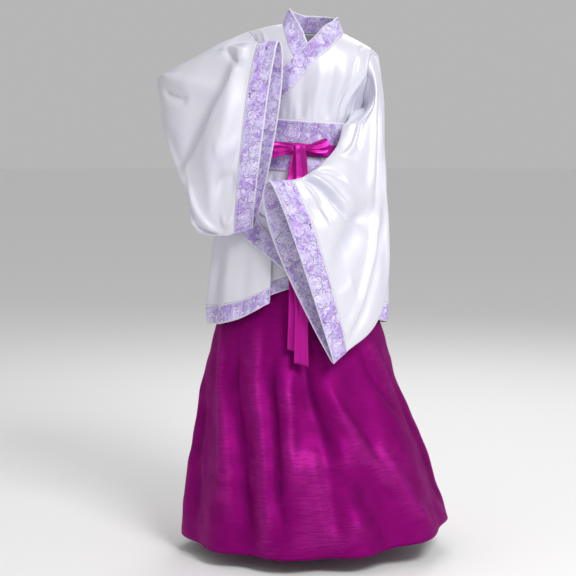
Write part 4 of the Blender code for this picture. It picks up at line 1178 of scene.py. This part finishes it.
def flowers(tree, place):
    """Open five-petalled flowers, one near the middle of each cell. A flower's rim is a cosine of the
    turn round its middle. Gives the flowers, their drawn lines, and a shadow line round each."""
    spread = stretched(tree, place, 1 / FLOWER_SPACING)
    inputs = {"Vector": spread, "Scale": 1.0, "Randomness": FLOWER_RANDOM}
    cell = put(tree, "ShaderNodeTexVoronoi", inputs, voronoi_dimensions="2D")
    axes = parts(tree, vectors(tree, "SUBTRACT", spread, cell["Position"]))
    chance = put(tree, "ShaderNodeSeparateColor", {0: cell["Color"]})
    turned = times(tree, chance[0], FLOWER_TURN)
    turn = maths(tree, "ADD", maths(tree, "ARCTAN2", axes[1], axes[0]), turned)
    lobe = maths(tree, "ABSOLUTE", maths(tree, "COSINE", times(tree, turn, PETALS / 2)))
    petal = scaled(tree, maths(tree, "POWER", lobe, PETAL_ROUND), *PETAL_REACH)
    rim = times(tree, petal, scaled(tree, chance[1], *FLOWER_SIZES))
    far = cell["Distance"]
    edge = maths(tree, "SUBTRACT", far, rim)
    shown = step(tree, noise(tree, place, "flower gaps"), *FLOWER_SHOWN)
    notch = times(tree, step(tree, lobe, *NOTCH_LEVELS), step(tree, edge, *NOTCH_EDGE))
    inner = line(tree, far, times(tree, rim, INNER_SHARE), INNER_LINE)
    drawn = most(tree, line(tree, edge, 0.0, PETAL_LINE), inner, notch)
    shade = line(tree, edge, SHADOW_OFF, SHADOW_LINE)
    return (times(tree, each, shown) for each in (step(tree, edge, *FLOWER_EDGE), drawn, shade))


def brocade_group():
    """Woven cloudy patches, curling lines and open flowers between white piped edges, with a row of
    stitches along each. Places are in metres of cloth."""
    colours = dict.fromkeys(("Ground", "Cloud", "Line", "Light", "Piping"), "Color")
    inputs = {"Vector": "Vector", "Edge": "Float", **colours}
    tree, given, made = new_group("Brocade", inputs, {"Color": "Color", "Height": "Float"})
    place, edge = given["Vector"], given["Edge"]
    curls, leaves = noise(tree, place, "scrolls"), noise(tree, place, "leaves")
    gaps = step(tree, noise(tree, place, "scroll gaps"), *SCROLL_SHOWN)
    scrolls = times(tree, most(tree, *(line(tree, curls, at, SCROLL_LINE) for at in SCROLL_LEVELS)), gaps)
    row = line(tree, edge, STITCH_PLACE, STITCH_LINE)
    beat = maths(tree, "SINE", times(tree, parts(tree, place)[0], 2 * np.pi / STITCH_LENGTH))
    flower, petals, shade = flowers(tree, place)
    figures = {
        "clouds": step(tree, noise(tree, place, "clouds"), *CLOUD_LEVELS),
        "leaves": step(tree, leaves, *LEAF_LEVELS),
        "specks": step(tree, leaves, *SPECK_LEVELS),
        "flowers": flower,
        "petals": petals,
        "scrolls": scrolls,
        "dark lines": most(tree, scrolls, shade),
        "pale lines": line(tree, curls, PALE_LEVEL, PALE_LINE),
        "stitches": times(tree, row, step(tree, beat, *STITCH_GAP)),
        "piping": step(tree, edge, PIPING + PIPING_EDGE, PIPING),
    }
    tone = given["Ground"]
    for figure, strength, colour in LAYERS:
        tone = mixed(tree, times(tree, figures[figure], strength), tone, given[colour])
    woven = most(tree, *(times(tree, figures[figure], height) for figure, height in HEIGHTS))
    height = times(tree, woven, maths(tree, "SUBTRACT", 1.0, figures["piping"]))
    feed(tree, made, {"Color": tone, "Height": height})
    return tree


def slub(tree, place):
    """Short uneven streaks along the cloth's first axis, as thick threads and fine crinkles make, and
    slow patches, both from 0 to 1. They come from one group, made the first time."""
    group = bpy.data.node_groups.get("Slub")
    if group is None:
        group, given, made = new_group(
            "Slub", {"Vector": "Vector"}, {"Streaks": "Float", "Patches": "Float"})
        threads, crinkles, patches = (
            noise(group, given[0], kind) for kind in ("slub threads", "slub crinkles", "slub patches"))
        streaks = scaled(group, crinkles, 1 - SLUB_SHARE, times(group, threads, SLUB_SHARE))
        feed(group, made, {"Streaks": streaks, "Patches": patches})
    return put(tree, "ShaderNodeGroup", {0: place}, node_tree=group)


def new_material(name, **values):
    """A principled material and its tree. Values are set on the shader's own sockets."""
    material = bpy.data.materials.new(name)
    material.use_nodes = True
    shader = material.node_tree.nodes["Principled BSDF"]
    inputs = {socket.replace("_", " "): value for socket, value in values.items()}
    feed(material.node_tree, shader, inputs)
    return material, material.node_tree, shader


def cloth_place(tree):
    """Place on the cloth in metres."""
    return put(tree, "ShaderNodeUVMap", uv_map="Cloth")[0]


def measured(tree, name):
    """Value of a mesh attribute."""
    return put(tree, "ShaderNodeAttribute", attribute_name=name)["Fac"]


def bump(tree, height, distance, strength):
    """Relief of a height, as deep as the distance in metres."""
    return put(tree, "ShaderNodeBump", {"Height": height, "Distance": distance, "Strength": strength})[0]


def tinted(colour, by=1.0):
    """A shader colour: the given one multiplied, by one number or by one for each channel."""
    return (*(np.array(colour) * by), 1.0)


def satin_material(settings):
    """White satin with faint cool patches and fine threads."""
    material, tree, shader = new_material(
        "White satin", Roughness=0.44, Sheen_Weight=0.12, Sheen_Roughness=0.35,
        Sheen_Tint=(0.86, 0.84, 1, 1), Metallic=0.2, Specular_IOR_Level=0.5)
    place = cloth_place(tree)
    cloud = step(tree, noise(tree, place, "satin clouds"), *SATIN_CLOUDS)
    tone = mixed(tree, cloud, tinted(settings.satin), tinted(settings.satin, SATIN_COOL))
    threads = bump(tree, noise(tree, place, "satin threads"), *SATIN_RELIEF)
    feed(tree, shader, {"Base Color": tone, "Normal": threads})
    return material


def brocade_material(settings):
    """Lavender brocade: the woven pattern with its relief."""
    material, tree, shader = new_material(
        "Lavender brocade", Roughness=0.5, Sheen_Weight=0.3, Sheen_Roughness=0.4,
        Sheen_Tint=(0.85, 0.8, 1, 1))
    colours = {
        "Ground": settings.brocade, "Cloud": settings.cloud, "Line": settings.line,
        "Light": settings.light, "Piping": settings.satin,
    }
    inputs = {"Vector": cloth_place(tree), "Edge": measured(tree, "edge")}
    inputs.update((socket, tinted(colour)) for socket, colour in colours.items())
    pattern = put(tree, "ShaderNodeGroup", inputs, node_tree=brocade_group())
    relief = bump(tree, pattern["Height"], *BROCADE_RELIEF)
    feed(tree, shader, {"Base Color": pattern["Color"], "Normal": relief})
    return material


def skirt_material(settings):
    """Magenta satin with slubs, with painted shade in the troughs and a painted highlight on the ridges.
    """
    material, tree, shader = new_material(
        "Magenta satin", Metallic=0.6, Specular_IOR_Level=0.3, Specular_Tint=(1, 0.3, 0.85, 1))
    streaks, patches = slub(tree, cloth_place(tree))
    # low is the painted shade of the troughs and pale the painted highlight of the ridges; the fold's
    # height with the patches places both
    dark, bright, low, pale = (tinted(settings.skirt, by) for by in SKIRT_TONES)
    shade_and_highlight = maths(tree, "ADD", measured(tree, "fold"), scaled(tree, patches, *PAINTED_LIGHT_PATCHES))
    strength = scaled(tree, step(tree, streaks, *PAINTED_HIGHLIGHT_STREAKS), *PAINTED_HIGHLIGHT_STRENGTH)
    tone = mixed(tree, step(tree, streaks, *SLUB_LEVELS), dark, bright)
    tone = mixed(tree, times(tree, step(tree, shade_and_highlight, *PAINTED_SHADE_LEVELS), PAINTED_SHADE_STRENGTH), tone, low)
    tone = mixed(tree, times(tree, step(tree, shade_and_highlight, *PAINTED_HIGHLIGHT_LEVELS), strength), tone, pale)
    feed(tree, shader, {
        "Base Color": tone, "Roughness": scaled(tree, patches, *SKIRT_ROUGHNESS),
        "Normal": bump(tree, streaks, *SKIRT_RELIEF)})
    return material


def ribbon_material(settings):
    """Glossy near the knot. The lower parts of the tails show the ribbon's matt side."""
    material, tree, shader = new_material(
        "Magenta ribbon", Metallic=0.55, Specular_IOR_Level=0.2, Specular_Tint=(1, 0.5, 0.9, 1))
    place = cloth_place(tree)
    streaks, patches = slub(tree, place)
    dark, bright = (tinted(settings.ribbon, by) for by in RIBBON_TONES)
    matt = step(tree, parts(tree, place)[1], *MATT_PLACES)
    tone = mixed(tree, step(tree, patches, *SLUB_LEVELS), dark, bright)
    tone = mixed(tree, matt, tone, tinted(settings.skirt, MATT_TONE))
    feed(tree, shader, {
        "Base Color": tone, "Roughness": scaled(tree, matt, *RIBBON_ROUGHNESS),
        "Normal": bump(tree, streaks, *RIBBON_RELIEF)})
    return material


def cloth_material(slot):
    """The material of a slot, made the first time that it is asked for."""
    makers = {
        "white satin": satin_material, "lavender brocade": brocade_material,
        "magenta satin": skirt_material, "magenta ribbon": ribbon_material,
    }
    made = bpy.data.materials.get(slot.capitalize())
    return made or makers[slot](bpy.context.scene.hanfu)


# Add-on

def colour_property(name, value, description):
    """A colour setting."""
    return bpy.props.FloatVectorProperty(
        name=name, subtype="COLOR", size=3, min=0, max=1, default=value, description=description)


class HanfuSettings(bpy.types.PropertyGroup):
    """Colours, cloth and light"""
    satin: colour_property("Satin", (0.75, 0.745, 0.815), "Colour of the jacket's white satin")
    brocade: colour_property(
        "Brocade ground", (0.63, 0.56, 0.86), "Ground colour of the borders and waistband")
    cloud: colour_property(
        "Brocade clouds", (0.45, 0.27, 0.74), "Colour of the woven patches and leaves")
    line: colour_property(
        "Brocade lines", (0.16, 0.09, 0.34), "Colour of the woven outlines and scrolls")
    light: colour_property("Brocade lights", (0.84, 0.79, 0.95), "Palest colour of the woven flowers")
    skirt: colour_property("Skirt", (0.245, 0.001, 0.152), "Colour of the skirt's satin")
    ribbon: colour_property("Ribbon", (0.72, 0.03, 0.45), "Colour of the ribbon belt and its bow")
    thickness: bpy.props.FloatProperty(
        name="Cloth thickness", subtype="DISTANCE", unit="LENGTH", default=CLOTH, min=0.0004, max=0.0014,
        precision=4, description="Thickness of the single cloth of the jacket and skirt")
    fold_depth: bpy.props.FloatProperty(
        name="Fold depth", default=1.0, min=0.0, max=1.3, description="Depth of the folds and creases")
    light_strength: bpy.props.FloatProperty(
        name="Light strength", default=1.0, min=0.0, max=5.0,
        description="Strength of the lamps and the sky")


def add_piece(node, points, held, under, slot, **options):
    """Adds the cloth of a node in its slot's material and stands it in for the node's solid."""
    options.setdefault("wall", bpy.context.scene.hanfu.thickness)
    piece = make_cloth(node, points, cloth_material(slot), **options)
    declare(piece, node)


class HANFU_OT_jacket(bpy.types.Operator):
    """Add the jacket's back and its two fronts"""
    bl_idname = "hanfu.jacket"
    bl_label = "Jacket"

    def execute(self, context):
        rows = np.linspace(0, UP_TO_HEM, JACKET_ROWS)
        for node, points, under in (
                ("jacket_back", back_points, ()),
                ("jacket_front_left", outer_points, ("jacket_front_right",)),
                ("jacket_front_right", inner_points, ("jacket_back",))):
            add_piece(node, points(rows), "hung", under, "white satin")
        return {"FINISHED"}


class HANFU_OT_borders(bpy.types.Operator):
    """Add the collar band, the front edge band and the hem bands"""
    bl_idname = "hanfu.borders"
    bl_label = "Borders"

    def execute(self, context):
        band = {"slot": "lavender brocade", "wall": BAND_CLOTH, "piping": True}
        for node, points, under in (
                ("collar", collar_points(), "jacket_back"),
                ("front_edge_band", edge_band_points(), "jacket_front_left")):
            add_piece(node, points, "hung", (under,), along_rows=True, **band)
        for panel, points, gap in (
                ("back", back_points, SEAM), ("front_left", outer_points, SEAM),
                ("front_right", inner_points, FOLDED_SEAM)):
            rows = UP_TO_HEM + gap + np.linspace(0, 1, HEM_BAND_ROWS) * (HEM_BAND - gap)
            add_piece("hem_band_" + panel, points(rows), "hung", ("jacket_" + panel,), **band)
        return {"FINISHED"}


class HANFU_OT_sleeves(bpy.types.Operator):
    """Add both sleeves with their cuff bands"""
    bl_idname = "hanfu.sleeves"
    bl_label = "Sleeves"

    def execute(self, context):
        for side, points, cuff in (
                ("right", right_sleeve_points, RIGHT_CUFF), ("left", left_sleeve_points, LEFT_CUFF)):
            sleeve = "sleeve_" + side
            add_piece(sleeve, points(), "draped", ("jacket_back",), "white satin", closed=True)
            add_piece("cuff_" + side, cuff_points(side, cuff), "hung", (sleeve,), "lavender brocade",
                      closed=True, wall=BAND_CLOTH, piping=True)
        return {"FINISHED"}


class HANFU_OT_waist(bpy.types.Operator):
    """Add the waistband and the ribbon belt with its bow and tails"""
    bl_idname = "hanfu.waist"
    bl_label = "Waistband and ribbon"

    def execute(self, context):
        add_piece("waistband", waistband_points(), "stretched", ("jacket_back",), "lavender brocade",
                  closed=True, wall=BAND_CLOTH, piping=True)
        belt = waist_ring(RIBBON_TOP, RIBBON_LOW, RIBBON_LIFT, RIBBON_BELT_ROWS)
        ribbon = {"slot": "magenta ribbon", "wall": RIBBON_CLOTH}
        add_piece("ribbon_belt", belt, "stretched", ("waistband",), closed=True, **ribbon)
        add_piece("ribbon_knot", knot_points(), "folded", ("waistband",), closed=True, **ribbon)
        for tables, points, held in ((LOOPS, loop_points, "folded"), (TAILS, tail_points, "hung")):
            for node, table in tables.items():
                add_piece(node, points(table), held, ("ribbon_belt",), **ribbon)
        return {"FINISHED"}


class HANFU_OT_skirt(bpy.types.Operator):
    """Add the skirt's front and back panels and its plain waistband"""
    bl_idname = "hanfu.skirt"
    bl_label = "Skirt"

    def execute(self, context):
        slot = "magenta satin"
        for node, ends in SKIRT_PANELS.items():
            fold = np.clip(PLAIN_FOLD + skirt_folds(*skirt_grid(ends)) / SKIRT_FOLD_REACH, 0, 1)
            add_piece(node, skirt_points(ends), "hung", ("skirt_waistband",), slot, fold=fold)
        add_piece("skirt_waistband", skirt_waistband_points(), "stretched", (), slot, closed=True)
        return {"FINISHED"}


class HANFU_OT_stage(bpy.types.Operator):
    """Add a pale floor, soft lamps and the camera"""
    bl_idname = "hanfu.stage"
    bl_label = "Stage"

    def execute(self, context):
        scene = context.scene
        strength = scene.hanfu.light_strength
        bpy.ops.mesh.primitive_circle_add(
            vertices=96, radius=FLOOR_RADIUS, fill_type="NGON", location=(0, 0, FLOOR_Z))
        made = [context.object]
        made[0].name = "floor"
        paint = new_material("Floor", Base_Color=(0.95, 0.95, 0.95, 1), Roughness=0.9)[0]
        made[0].data.materials.append(paint)
        for name, place, size, power in LAMPS:
            light = bpy.data.lights.new(name, "AREA")
            light.shape, light.size, light.energy = "DISK", size, power * strength
            lamp = bpy.data.objects.new(name, light)
            lamp.location = place
            aim = Vector(LAMPS_AIM) - Vector(place)
            lamp.rotation_euler = aim.to_track_quat("-Z", "Y").to_euler()
            scene.collection.objects.link(lamp)
            made.append(lamp)
        world = bpy.data.worlds.new("Sky")
        world.use_nodes = True
        sky = {"Color": (1, 1, 1, 1), "Strength": SKY * strength}
        feed(world.node_tree, world.node_tree.nodes["Background"], sky)
        scene.world = world
        lens = bpy.data.cameras.new("Camera")
        lens.lens, lens.sensor_width = LENS_MM, SENSOR_MM
        camera = bpy.data.objects.new("Camera", lens)
        camera.location = CAMERA
        camera.rotation_euler = (np.radians(90 - CAMERA_TILT), 0, 0)
        scene.collection.objects.link(camera)
        scene.camera = camera
        scene.view_settings.view_transform = "Standard"
        return {"FINISHED"}


class HANFU_PT_panel(bpy.types.Panel):
    """Settings and one button for each operator"""
    bl_label = "Hanfu"
    bl_idname = "HANFU_PT_panel"
    bl_space_type = "VIEW_3D"
    bl_region_type = "UI"
    bl_category = "Hanfu"

    def draw(self, context):
        for name in HanfuSettings.__annotations__:
            self.layout.prop(context.scene.hanfu, name)
        for operator in OPERATORS:
            self.layout.operator(operator.bl_idname)


OPERATORS = (
    HANFU_OT_jacket, HANFU_OT_borders, HANFU_OT_sleeves, HANFU_OT_waist, HANFU_OT_skirt, HANFU_OT_stage)
CLASSES = (HanfuSettings, *OPERATORS, HANFU_PT_panel)


def register():
    """Registers the classes and puts the settings on the scene."""
    for each in CLASSES:
        bpy.utils.register_class(each)
    bpy.types.Scene.hanfu = bpy.props.PointerProperty(type=HanfuSettings)


def unregister():
    """Takes away the settings and the classes."""
    del bpy.types.Scene.hanfu
    for each in reversed(CLASSES):
        bpy.utils.unregister_class(each)


def main():
    """Builds the set with its operators."""
    register()
    for operator in OPERATORS:
        group, name = operator.bl_idname.split(".")
        getattr(getattr(bpy.ops, group), name)()


if __name__ == "__main__":
    main()
